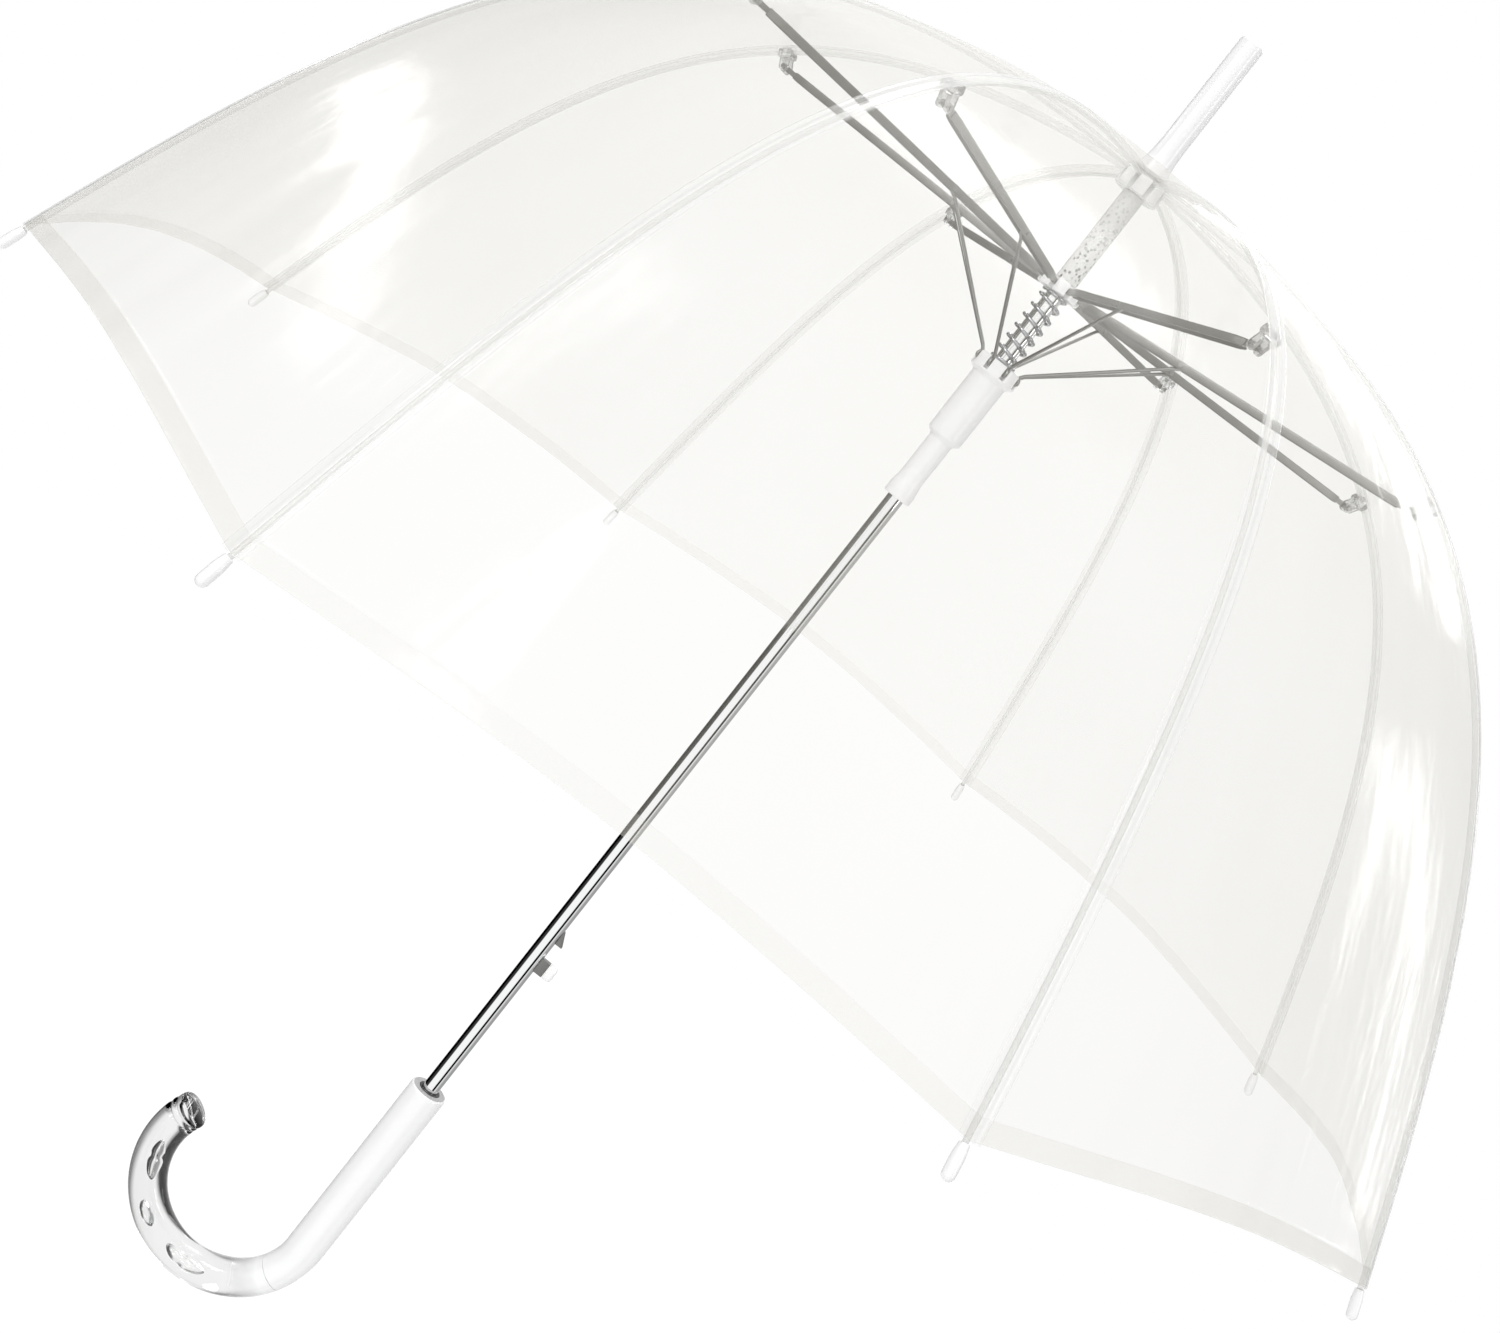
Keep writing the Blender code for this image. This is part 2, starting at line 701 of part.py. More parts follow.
def button_cap_mesh():
    """A round cap on +X, domed at its face."""
    near = STEM_TIP_X + GAP
    profile = [
        (CAP_RADIUS, near),
        (CAP_RADIUS, CAP_TIP_X - 0.0015),
        (CAP_RADIUS - 0.0009, CAP_TIP_X - 0.0004),
        (CAP_RADIUS - 0.0022, CAP_TIP_X),
    ]
    cap = turned("release_button", profile, 16, bored=False)
    cap.transform(Matrix.Rotation(pi / 2, 4, "Y"))
    cap.transform(Matrix.Translation((0, 0, STEM_Z)))
    return cap


def add_release(materials):
    half = STEM_WIDTH / 2
    stem = block(
        "button_stem",
        (STEM_BACK_X, -half, STEM_Z - STEM_HEIGHT / 2),
        (STEM_TIP_X, half, STEM_Z + STEM_HEIGHT / 2),
    )
    add("latch_catch", catch_mesh(), materials["steel"])
    add("button_stem", stem, materials["steel"])
    add("release_button", button_cap_mesh(), materials["white"])


# ---- handle -------------------------------------------------------------------------------------


def hook_point(turn):
    """A point of the hook's centreline, by how far round it is from the foot of the grip."""
    return HOOK_CENTRE + HOOK_RADIUS * Vector((cos(turn), 0, -sin(turn)))


def grip_mesh():
    """The straight grip and the first stretch of the bend, bored for the shaft."""
    straight = [Vector((0, 0, z)) for z in (GRIP_TOP, GRIP_TOP - 0.0012, 0.010, HOOK_CENTRE.z + 0.004)]
    bend = [hook_point(turn) for turn in spaced(GRIP_TURN / 4, GRIP_TURN, 3)]
    beyond = hook_point(GRIP_TURN * 1.25)
    radii = [GRIP_RADIUS - 0.0012, GRIP_RADIUS, GRIP_RADIUS, GRIP_RADIUS] + [HOOK_TUBE_RADIUS] * 4
    body = swept("grip", straight + bend, radii, 20, tail=beyond)
    bore = turned(
        "bore", [(BORE_RADIUS, GRIP_SOCKET_BOTTOM), (BORE_RADIUS, GRIP_TOP + 0.001)], 20, bored=False
    )
    return cut("handle_grip", body, bore)


def hook_mesh():
    """The clear crook, with a shallow groove behind its end knob."""
    start = GRIP_TURN + GAP / HOOK_RADIUS
    turns = spaced(start, HOOK_TURN - radians(14), 14)
    before = hook_point(2 * start - turns[1])
    radii = [HOOK_TUBE_RADIUS] * len(turns)
    knob = [(11, 0.99), (9.5, 0.90), (8, 0.99), (1.2, 0.97), (0, 0.86)]
    for back, share in knob:
        turns.append(HOOK_TURN - radians(back))
        radii.append(HOOK_TUBE_RADIUS * share)
    return swept("handle_hook", [hook_point(turn) for turn in turns], radii, 14, lead=before)


def add_handle(materials):
    add("handle_grip", grip_mesh(), materials["white"])
    add("handle_hook", hook_mesh(), materials["acrylic"])


def main():
    clear_scene()
    materials = make_materials()
    add_canopy(materials)
    add_ribs(materials)
    add_linkage(materials)
    add_shaft_group(materials)
    add_runners(materials)
    add_release(materials)
    add_handle(materials)


main()
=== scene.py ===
"""Looks of a clear dome umbrella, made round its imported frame.

The frame holds what moves and fits. This script makes the surfaces that are seen: the film and its
welded hem, the rods, clips and tips, the pressed steel linkage, the runners and the spring, the
tube, the catch and button, and the handle with its white grip and clear crook. All sizes are in
metres, +Z runs up the shaft and the crook points to -X.
"""

import logging
from dataclasses import dataclass, field
from enum import Enum
from functools import lru_cache
from math import atan2, cos, degrees, pi, radians, sin, tau
from typing import Iterable, Mapping, Sequence

import bmesh
import bpy
import numpy as np
from mathutils import Matrix, Vector, noise


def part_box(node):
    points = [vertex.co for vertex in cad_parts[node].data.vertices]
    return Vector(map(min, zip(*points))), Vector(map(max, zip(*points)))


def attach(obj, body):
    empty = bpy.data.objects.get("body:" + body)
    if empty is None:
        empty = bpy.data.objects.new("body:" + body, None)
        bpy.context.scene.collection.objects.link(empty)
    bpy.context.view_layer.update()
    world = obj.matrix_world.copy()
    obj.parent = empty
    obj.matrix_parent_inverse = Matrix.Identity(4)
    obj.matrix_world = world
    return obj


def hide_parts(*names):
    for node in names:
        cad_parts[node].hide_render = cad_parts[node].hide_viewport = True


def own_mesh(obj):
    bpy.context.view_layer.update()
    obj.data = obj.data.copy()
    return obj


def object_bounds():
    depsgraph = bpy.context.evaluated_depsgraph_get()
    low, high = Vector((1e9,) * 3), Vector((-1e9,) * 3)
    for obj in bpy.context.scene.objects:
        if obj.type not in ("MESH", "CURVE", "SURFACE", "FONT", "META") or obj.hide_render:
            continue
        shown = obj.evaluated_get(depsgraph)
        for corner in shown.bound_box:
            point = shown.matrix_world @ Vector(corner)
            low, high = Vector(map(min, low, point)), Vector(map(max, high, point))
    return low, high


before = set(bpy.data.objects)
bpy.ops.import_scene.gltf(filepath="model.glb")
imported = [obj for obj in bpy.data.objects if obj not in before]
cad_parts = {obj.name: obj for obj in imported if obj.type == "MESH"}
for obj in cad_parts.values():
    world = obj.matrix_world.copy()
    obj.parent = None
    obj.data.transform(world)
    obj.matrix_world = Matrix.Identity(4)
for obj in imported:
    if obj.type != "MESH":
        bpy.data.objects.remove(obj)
cad_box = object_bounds()

STATIONS = 8
STATION_ANGLE = tau / STATIONS
UP = Vector((0, 0, 1))
SIDEWAYS = Vector((0, 1, 0))
GAP = 0.0003

log = logging.getLogger("umbrella")


# ---- node trees ---------------------------------------------------------------------------------


class Number:
    """A number carried by a node's socket; arithmetic on it adds Math nodes to the same tree."""

    def __init__(self, tree: "NodeTree", socket: bpy.types.NodeSocket) -> None:
        """Wraps an output socket of one of the tree's nodes."""
        self.tree = tree
        self.socket = socket

    def maths(self, operation: str, first: object, second: object = 0.0) -> "Number":
        """Adds one Math node.

        Args:
            operation: the node's operation, in Blender's words.
            first: the first value, a Number or a plain number.
            second: the second value, where the operation has one.

        Returns:
            The node's result.
        """
        made = self.tree.node("ShaderNodeMath", {"operation": operation}, {0: first, 1: second})
        return Number(self.tree, made.outputs[0])

    def __add__(self, other: object) -> "Number":
        """self + other."""
        return self.maths("ADD", self, other)

    __radd__ = __add__

    def __sub__(self, other: object) -> "Number":
        """self - other."""
        return self.maths("SUBTRACT", self, other)

    def __rsub__(self, other: object) -> "Number":
        """other - self."""
        return self.maths("SUBTRACT", other, self)

    def __mul__(self, other: object) -> "Number":
        """self * other."""
        return self.maths("MULTIPLY", self, other)

    __rmul__ = __mul__

    def __truediv__(self, other: object) -> "Number":
        """self / other."""
        return self.maths("DIVIDE", self, other)

    def clamped(self) -> "Number":
        """This number kept between 0 and 1."""
        return self.maths("MINIMUM", self.maths("MAXIMUM", self, 0.0), 1.0)


class NodeTree:
    """A node tree with one method that adds any node."""

    def __init__(self, tree: bpy.types.NodeTree) -> None:
        """Empties the tree."""
        self.tree = tree
        tree.nodes.clear()

    def node(
        self, kind: str, settings: Mapping | None = None, inputs: Mapping | None = None
    ) -> bpy.types.Node:
        """Adds a node.

        Args:
            kind: the node's type.
            settings: its own settings, such as an operation or a ramp's stops, which are set first.
            inputs: values or links for its sockets, by name or by number.

        Returns:
            The node.
        """
        made = self.tree.nodes.new(kind)
        for key, value in (settings or {}).items():
            if key == "stops":
                self.set_stops(made.color_ramp, value)
            else:
                setattr(made, key, value)
        for key, value in (inputs or {}).items():
            self.feed(made.inputs[key], value)
        return made

    @staticmethod
    def set_stops(ramp: bpy.types.ColorRamp, stops: Sequence[tuple[float, float]]) -> None:
        """Sets a ramp's stops from (position, grey level) pairs."""
        while len(ramp.elements) < len(stops):
            ramp.elements.new(1.0)
        for element, (position, grey) in zip(ramp.elements, stops):
            element.position = position
            element.color = (grey, grey, grey, 1)

    def feed(self, socket: bpy.types.NodeSocket, value: object) -> None:
        """Links or sets one input socket."""
        if isinstance(value, Number):
            self.tree.links.new(value.socket, socket)
        elif isinstance(value, bpy.types.NodeSocket):
            self.tree.links.new(value, socket)
        elif socket.type == "RGBA":
            socket.default_value = (*value, 1)
        else:
            socket.default_value = value

    def number(self, node: bpy.types.Node, output: object = 0) -> Number:
        """One of a node's outputs as a Number."""
        return Number(self, node.outputs[output])


class ShaderTree(NodeTree):
    """A material's tree, round one Principled node."""

    def __init__(self, name: str) -> None:
        """Makes the material."""
        self.material = bpy.data.materials.new(name)
        self.material.use_nodes = True
        super().__init__(self.material.node_tree)
        self.output = self.node("ShaderNodeOutputMaterial")
        self.surface = self.node("ShaderNodeBsdfPrincipled")
        self.feed(self.output.inputs["Surface"], self.surface.outputs[0])

    def dress(self, **values: object) -> None:
        """Sets or links the Principled node's sockets; an underscore in a name stands for a space."""
        for key, value in values.items():
            self.feed(self.surface.inputs[key.replace("_", " ")], value)

    def places(self, stretch: Sequence[float] = (1, 1, 1), uv: bool = False) -> bpy.types.NodeSocket:
        """The surface's own coordinates, in metres.

        Args:
            stretch: how much each axis is scaled.
            uv: reads the piece's UV map instead of its place in the object.

        Returns:
            The vector socket.
        """
        read = self.node("ShaderNodeTexCoord").outputs["UV" if uv else "Object"]
        made = self.node("ShaderNodeMapping", None, {"Vector": read, "Scale": tuple(stretch)})
        return made.outputs[0]

    def noise(self, scale: float, detail: float = 3.0, where: bpy.types.NodeSocket | None = None) -> Number:
        """A noise between 0 and 1 at a scale given in waves per metre."""
        inputs = {"Vector": where or self.places(), "Scale": scale, "Detail": detail}
        return self.number(self.node("ShaderNodeTexNoise", None, inputs))

    def grazing(self, blend: float = 0.5) -> Number:
        """0 where the surface faces the eye and 1 where it is seen edge on."""
        return self.number(self.node("ShaderNodeLayerWeight", None, {"Blend": blend}), "Facing")

    def tinted(self, share: object, low: Sequence[float], high: Sequence[float]) -> bpy.types.NodeSocket:
        """A colour between two others."""
        return self.node("ShaderNodeMix", {"data_type": "RGBA"}, {0: share, 6: low, 7: high}).outputs[2]

    def bump(self, height: Number, distance: float) -> bpy.types.NodeSocket:
        """A normal from a height, whose full range is the distance."""
        return self.node("ShaderNodeBump", None, {"Height": height, "Distance": distance}).outputs[0]


class ShapeTree(NodeTree):
    """A Geometry Nodes tree with named inputs, which ends in real meshes with a material."""

    SOCKETS = {
        float: "NodeSocketFloat",
        int: "NodeSocketInt",
        tuple: "NodeSocketVector",
        bpy.types.Object: "NodeSocketObject",
        bpy.types.Material: "NodeSocketMaterial",
    }

    def __init__(self, name: str, inputs: Mapping[str, object]) -> None:
        """Makes the tree's inputs from their names and values.

        Args:
            name: the tree's name.
            inputs: each input's value by its name.
        """
        group = bpy.data.node_groups.new(name, "GeometryNodeTree")
        super().__init__(group)
        self.values = dict(inputs)
        self.identifiers = {}
        for key, value in inputs.items():
            kind = next(socket for held, socket in self.SOCKETS.items() if isinstance(value, held))
            made = group.interface.new_socket(key, in_out="INPUT", socket_type=kind)
            self.identifiers[key] = made.identifier
        group.interface.new_socket("Geometry", in_out="OUTPUT", socket_type="NodeSocketGeometry")
        self.entry = self.node("NodeGroupInput")

    def given(self, key: str) -> Number:
        """A named input's socket."""
        return Number(self, self.entry.outputs[key])

    def vector(self, x: object = 0.0, y: object = 0.0, z: object = 0.0) -> bpy.types.NodeSocket:
        """A vector from three numbers."""
        return self.node("ShaderNodeCombineXYZ", None, {0: x, 1: y, 2: z}).outputs[0]

    def made(self, name: str, geometry: bpy.types.NodeSocket) -> bpy.types.Mesh:
        """Ends the tree and runs it once.

        Args:
            name: the mesh's name.
            geometry: what the tree shows.

        Returns:
            The plain mesh that comes out.
        """
        real = self.node("GeometryNodeRealizeInstances", None, {0: geometry}).outputs[0]
        finish = {"Geometry": real, "Material": self.given("Finish")}
        dressed = self.node("GeometryNodeSetMaterial", None, finish)
        smooth = self.node("GeometryNodeSetShadeSmooth", None, {0: dressed.outputs[0]})
        self.node("NodeGroupOutput", None, {0: smooth.outputs[0]})
        holder = bpy.data.objects.new(name, bpy.data.meshes.new(name))
        bpy.context.scene.collection.objects.link(holder)
        run = holder.modifiers.new("shape", "NODES")
        run.node_group = self.tree
        for key, value in self.values.items():
            run[self.identifiers[key]] = value
        graph = bpy.context.evaluated_depsgraph_get()
        mesh = bpy.data.meshes.new_from_object(holder.evaluated_get(graph), depsgraph=graph)
        bpy.data.objects.remove(holder, do_unlink=True)
        mesh.name = name
        return mesh

    def tube(self, name: str, line: bpy.types.NodeSocket) -> bpy.types.Mesh:
        """Draws a round bar along a curve, by the inputs Radius and Sides, and ends the tree."""
        ring = self.node("GeometryNodeCurvePrimitiveCircle", {"mode": "RADIUS"}, {
            "Resolution": self.given("Sides"), "Radius": self.given("Radius")})
        drawn = self.node("GeometryNodeCurveToMesh", None, {
            "Curve": line, "Profile Curve": ring.outputs[0], "Fill Caps": True})
        return outward(self.made(name, drawn.outputs[0]))


# ---- finishes -----------------------------------------------------------------------------------


@dataclass(frozen=True)
class Finish:
    """A surface finish: the record's slot that it belongs to and how its material is made."""

    name: str
    slot: str

    def draw(self, tree: ShaderTree) -> None:
        """Sets the tree's nodes."""
        raise NotImplementedError

    @lru_cache(maxsize=None)
    def material(self) -> bpy.types.Material:
        """The finish's material, made once."""
        tree = ShaderTree(self.name)
        self.draw(tree)
        return tree.material


@dataclass(frozen=True)
class ClearFilm(Finish):
    """Soft clear vinyl: nearly unseen face on, greyer where it turns away, softly rippled."""

    colour: tuple = (0.775, 0.750, 0.670)
    face_on: float = 0.135
    edge_on: float = 0.30
    ripple: float = 0.0012

    def draw(self, tree: ShaderTree) -> None:
        """Film that lets the ground through by its alpha."""
        drawn = tree.noise(26.0, 2.0, tree.places((1.6, 0.35, 1), uv=True))
        smears = tree.noise(6.0, 3.0)
        height = drawn * 0.7 + tree.noise(70.0, 2.0) * 0.16
        turned = tree.grazing(0.45)
        cover = self.face_on + turned * turned * self.edge_on + (smears - 0.5) * 0.16
        tree.dress(
            Base_Color=tree.tinted(smears, tuple(c * 0.96 for c in self.colour), self.colour),
            Roughness=0.09 + smears * 0.14,
            Alpha=cover.clamped(),
            Normal=tree.bump(height, self.ripple),
            Specular_IOR_Level=0.9,
            IOR=1.53,
            Coat_Weight=0.4,
            Coat_Roughness=0.10,
        )


@dataclass(frozen=True)
class ClearPlastic(Finish):
    """Clear moulded or drawn plastic that bends what is behind it."""

    colour: tuple = (0.93, 0.935, 0.94)
    roughness: float = 0.12
    transmission: float = 0.85
    ior: float = 1.46

    def draw(self, tree: ShaderTree) -> None:
        """Glassy plastic with slight cloudiness."""
        cloud = tree.noise(240.0, 3.0)
        tree.dress(
            Base_Color=tree.tinted(cloud, tuple(c * 0.94 for c in self.colour), self.colour),
            Roughness=self.roughness * 0.7 + cloud * self.roughness * 0.6,
            Normal=tree.bump(tree.noise(420.0, 2.0), 0.00006),
            Transmission_Weight=self.transmission,
            IOR=self.ior,
        )


@dataclass(frozen=True)
class WhitePlastic(Finish):
    """A smooth moulding with a soft gloss; a cover below 1 lets what is behind show through."""

    colour: tuple = (0.95, 0.95, 0.955)
    roughness: float = 0.26
    cover: float = 1.0

    def draw(self, tree: ShaderTree) -> None:
        """Plastic with faint cloudiness and the slight waviness of a moulding."""
        cloud = tree.noise(60.0, 4.0)
        tree.dress(
            Base_Color=tree.tinted(cloud, tuple(c * 0.965 for c in self.colour), self.colour),
            Roughness=self.roughness - 0.05 + cloud * 0.10,
            Normal=tree.bump(cloud, 0.00012),
            Coat_Weight=0.25,
            Coat_Roughness=0.12,
            Alpha=self.cover,
        )


@dataclass(frozen=True)
class FrostedSleeve(Finish):
    """A cloudy clear tube full of fine bubbles, whose dark grain thins out towards the crown: painted
    reflection, for the canopy reflected over its upper part.
    """

    low: float = 0.613
    high: float = 0.668

    def draw(self, tree: ShaderTree) -> None:
        """Grainy below and clearer above, where the fading is a painted reflection."""
        cells = tree.node("ShaderNodeTexVoronoi", None, {"Vector": tree.places(), "Scale": 420.0})
        grain = tree.number(cells, "Distance")
        up = tree.number(tree.node("ShaderNodeSeparateXYZ", None, {0: tree.places()}), "Z")
        # painted reflection: the dark grain and the alpha fall off between low and high, for the canopy
        # reflected in the upper sleeve
        share = ((up - self.low) / (self.high - self.low)).clamped()
        speck = ((0.40 - grain) * 7.0).clamped() * (1.0 - share * 0.9)
        tree.dress(
            Base_Color=tree.tinted(speck, (0.95, 0.95, 0.945), (0.16, 0.16, 0.16)),
            Roughness=0.16 + speck * 0.30,
            Normal=tree.bump(grain, 0.00008),
            Alpha=0.80 - share * 0.22,
        )


@dataclass(frozen=True)
class Metal(Finish):
    """Bare or plated metal, with fine drawing lines along one axis of the object."""

    colour: tuple = (0.36, 0.36, 0.35)
    roughness: float = 0.34
    lines: tuple = (1.0, 1.0, 0.06)
    depth: float = 0.00005
    darker: float = 0.7

    def draw(self, tree: ShaderTree) -> None:
        """Metal whose tone and gloss vary along its drawing lines."""
        drawn = tree.noise(1500.0, 3.0, tree.places(self.lines))
        dull = tree.noise(90.0, 4.0)
        tree.dress(
            Base_Color=tree.tinted(dull, tuple(c * self.darker for c in self.colour), self.colour),
            Roughness=self.roughness * 0.75 + dull * self.roughness * 0.5 + drawn * self.roughness * 0.15,
            Normal=tree.bump(drawn, self.depth),
            Metallic=1.0,
        )


@dataclass(frozen=True)
class HandlePlastic(Finish):
    """One clear body with a white core that ends part of the way round the crook."""

    centre: tuple = (-0.051, -0.059)
    white_until: float = 33.0
    clear_from: float = 62.0
    white: tuple = (0.95, 0.95, 0.955)
    acrylic: tuple = (0.97, 0.972, 0.97)
    # rim: painted shade, the acrylic's grey tint where it is seen edge on, for the dark lines along the
    # crook's edges
    rim: tuple = (0.62, 0.62, 0.61)
    wander: float = 9.0
    far_side: float = -0.02

    def draw(self, tree: ShaderTree) -> None:
        """White moulding that gives way to clear acrylic, by the angle round the crook; the acrylic's tint
        greys where it is seen edge on, painted shade for the crook's dark edge lines.
        """
        apart = tree.node("ShaderNodeSeparateXYZ", None, {0: tree.places()})
        across = tree.number(apart, "X") - self.centre[0]
        down = self.centre[1] - tree.number(apart, "Z")
        turn = down.maths("ARCTAN2", down, across) * (180 / pi)
        wander = (tree.noise(55.0, 2.0) - 0.5) * self.wander
        past = across.maths("LESS_THAN", across, self.far_side)
        share = ((turn + wander - self.white_until) / (self.clear_from - self.white_until)).clamped()
        clear = (share + past).clamped()
        cloud = tree.noise(60.0, 4.0)
        tree.dress(
            Base_Color=tree.tinted(cloud, tuple(c * 0.97 for c in self.white), self.white),
            Roughness=0.20 + cloud * 0.10,
            Coat_Weight=0.35,
            Coat_Roughness=0.08,
        )
        # painted shade: the glass tint darkens from the acrylic colour towards the rim grey at the edges
        edge = tree.grazing(0.5)
        glass = tree.node(
            "ShaderNodeBsdfPrincipled",
            None,
            {
                "Base Color": tree.tinted(edge * edge, self.acrylic, self.rim),
                "Roughness": 0.015,
                "IOR": 1.49,
                "Transmission Weight": 1.0,
            },
        )
        mixed = tree.node(
            "ShaderNodeMixShader", None, {0: clear, 1: tree.surface.outputs[0], 2: glass.outputs[0]}
        )
        tree.feed(tree.output.inputs["Surface"], mixed.outputs[0])


class Look(Enum):
    """Every finish on the umbrella."""

    FILM = ClearFilm("vinyl_film", "clear_film")
    SEAM = ClearFilm("welded_film", "clear_film", (0.86, 0.86, 0.85), 0.22, 0.5, 0.0004)
    ROD = WhitePlastic("clear_rod", "clear_rib", (0.91, 0.91, 0.90), 0.30, 0.45)
    CLIP = ClearPlastic("clear_clip", "clear_rib", (0.88, 0.885, 0.89), 0.10, 0.8)
    WHITE = WhitePlastic("white_moulding", "white_plastic")
    TIP = WhitePlastic("milky_tip", "white_plastic", (0.975, 0.975, 0.975), 0.22)
    SLEEVE = FrostedSleeve("bubbled_sleeve", "frosted_sleeve")
    STEEL = Metal("pressed_steel", "grey_steel", (0.27, 0.27, 0.26))
    WIRE = Metal("drawn_wire", "grey_steel", (0.38, 0.38, 0.37), 0.28)
    SPRING = Metal("spring_wire", "spring_wire", (0.52, 0.53, 0.56), 0.18, (1, 1, 1), 0.00003, 0.7)
    CHROME = Metal("chrome_plate", "chrome_tube", (0.94, 0.945, 0.95), 0.03, (1.0, 1.0, 0.01), 0.000003, 0.96)
    # painted shade: the grey of the grip's top ring, which stands for the top turned away from the light
    FACE = WhitePlastic("painted_shade_top", "white_plastic", (0.45, 0.45, 0.45), 0.5)
    DARK = Metal("blackened_steel", "grey_steel", (0.10, 0.10, 0.10), 0.45)
    HANDLE = HandlePlastic("handle_body", "clear_acrylic")


# ---- meshes -------------------------------------------------------------------------------------


def new_piece(name: str, mesh: bpy.types.Mesh, look: Look, sharp: float = 35.0) -> bpy.types.Object:
    """Puts a mesh in the scene as a piece, shaded smooth up to an angle, with its finish."""
    mesh.materials.clear()
    mesh.materials.append(look.value.material())
    mesh.shade_smooth()
    if sharp:
        mesh.set_sharp_from_angle(angle=radians(sharp))
    made = bpy.data.objects.new(name, mesh)
    bpy.context.scene.collection.objects.link(made)
    return made


def settle(piece: bpy.types.Object, body: str, look: Look, *nodes: str) -> bpy.types.Object:
    """Rides a piece on its body and hides the frame's nodes that it stands for."""
    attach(piece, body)
    if nodes:
        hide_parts(*nodes)
    log.info("%s rides on %s", piece.name, body)
    return piece


def from_arrays(name: str, points: Iterable, faces: Iterable) -> bpy.types.Mesh:
    """A mesh from lists of points and faces."""
    mesh = bpy.data.meshes.new(name)
    mesh.from_pydata([tuple(p) for p in points], [], [tuple(f) for f in faces])
    mesh.update()
    return mesh


def outward(mesh: bpy.types.Mesh) -> bpy.types.Mesh:
    """Turns a closed mesh's faces to point out of it."""
    bm = bmesh.new()
    bm.from_mesh(mesh)
    bmesh.ops.recalc_face_normals(bm, faces=bm.faces)
    bm.to_mesh(mesh)
    bm.free()
    return mesh


def grid_faces(high: int, wide: int) -> list[list[int]]:
    """The faces of an open grid of points that are counted row by row."""
    index = np.arange(high * wide).reshape(high, wide)
    faces = np.stack([index[:-1, :-1], index[1:, :-1], index[1:, 1:], index[:-1, 1:]], axis=-1)
    return faces.reshape(-1, 4).tolist()


def lofted(name: str, rings: Sequence[Sequence], looped: bool = False) -> bpy.types.Mesh:
    """Skins a row of outlines that have the same number of points.

    Args:
        name: the mesh's name.
        rings: the outlines' points, one outline after the other.
        looped: joins the last outline to the first, which leaves no ends to cap.

    Returns:
        The closed mesh.
    """
    count, around = len(rings), len(rings[0])
    faces = []
    for i in range(count if looped else count - 1):
        low, high = i * around, (i + 1) % count * around
        for k in range(around):
            m = (k + 1) % around
            faces.append((low + k, low + m, high + m, high + k))
    if not looped:
        faces += [tuple(range(around)), tuple(range((count - 1) * around, count * around))]
    return outward(from_arrays(name, [point for ring in rings for point in ring], faces))


def filleted(corners: Sequence[tuple], steps: int = 4, closed: bool = True) -> list[Vector]:
    """Rounds the corners of an outline.

    Args:
        corners: (x, y) or (x, y, radius) for each corner.
        steps: how many stretches each arc has.
        closed: whether the outline runs on from its last corner to its first.

    Returns:
        The outline's points.
    """
    out = []
    count = len(corners)
    for i, corner in enumerate(corners):
        here = Vector(corner[:2])
        radius = corner[2] if len(corner) > 2 else 0.0
        if radius <= 0 or (not closed and i in (0, count - 1)):
            out.append(here)
            continue
        before = Vector(corners[i - 1][:2]) - here
        after = Vector(corners[(i + 1) % count][:2]) - here
        reach = min(radius, before.length * 0.49, after.length * 0.49)
        start, end = here + before.normalized() * reach, here + after.normalized() * reach
        for k in range(steps + 1):
            t = k / steps
            out.append((1 - t) ** 2 * start + 2 * t * (1 - t) * here + t * t * end)
    return out


def turned(name: str, outline: Sequence, sides: int, hollow: bool = False) -> bpy.types.Mesh:
    """Turns an outline of (radius, height) round Z.

    Args:
        name: the mesh's name.
        outline: the points, which start and end on the axis unless it is hollow.
        sides: how many sides the turned shape has.
        hollow: joins the last point to the first, as on a ring or a tube.

    Returns:
        The closed mesh.
    """
    points, faces, rings = [], [], []
    for r, z in outline:
        if r < 1e-7:
            rings.append([len(points)] * sides)
            points.append((0, 0, z))
            continue
        rings.append(list(range(len(points), len(points) + sides)))
        points += [(r * cos(tau * i / sides), r * sin(tau * i / sides), z) for i in range(sides)]
    pairs = list(zip(rings, rings[1:]))
    if hollow:
        pairs.append((rings[-1], rings[0]))
    for low, high in pairs:
        for i in range(sides):
            j = (i + 1) % sides
            corner = [low[i], low[j], high[j], high[i]]
            face = [v for n, v in enumerate(corner) if v not in corner[:n]]
            if len(face) > 2:
                faces.append(face)
    return outward(from_arrays(name, points, faces))


def swept(
    name: str,
    path: Sequence[Vector],
    section: Sequence[tuple],
    sideways: Vector = SIDEWAYS,
    scales: Sequence[float] | None = None,
    lead: Vector | None = None,
    tail: Vector | None = None,
    looped: bool = False,
) -> bpy.types.Mesh:
    """Draws a section along a path.

    Args:
        name: the mesh's name.
        path: the points that the section's middle follows.
        section: the section's outline, as (sideways, across) offsets.
        sideways: the direction that the section's first axis keeps to.
        scales: the section's size at each point.
        lead: a point of the curve before the path, which sets how the first end lies.
        tail: a point of the curve after the path.
        looped: whether the path closes on itself, which leaves no ends.

    Returns:
        The closed mesh.
    """
    if looped:
        guide = [path[-1], *path, path[0]]
    else:
        guide = [lead or path[0] * 2 - path[1], *path, tail or path[-1] * 2 - path[-2]]
    rings = []
    for i, here in enumerate(path):
        along = (guide[i + 2] - guide[i]).normalized()
        side = (sideways - along * sideways.dot(along)).normalized()
        across = side.cross(along)
        size = scales[i] if scales else 1.0
        rings.append([here + size * (side * a + across * b) for a, b in section])
    return lofted(name, rings, looped)


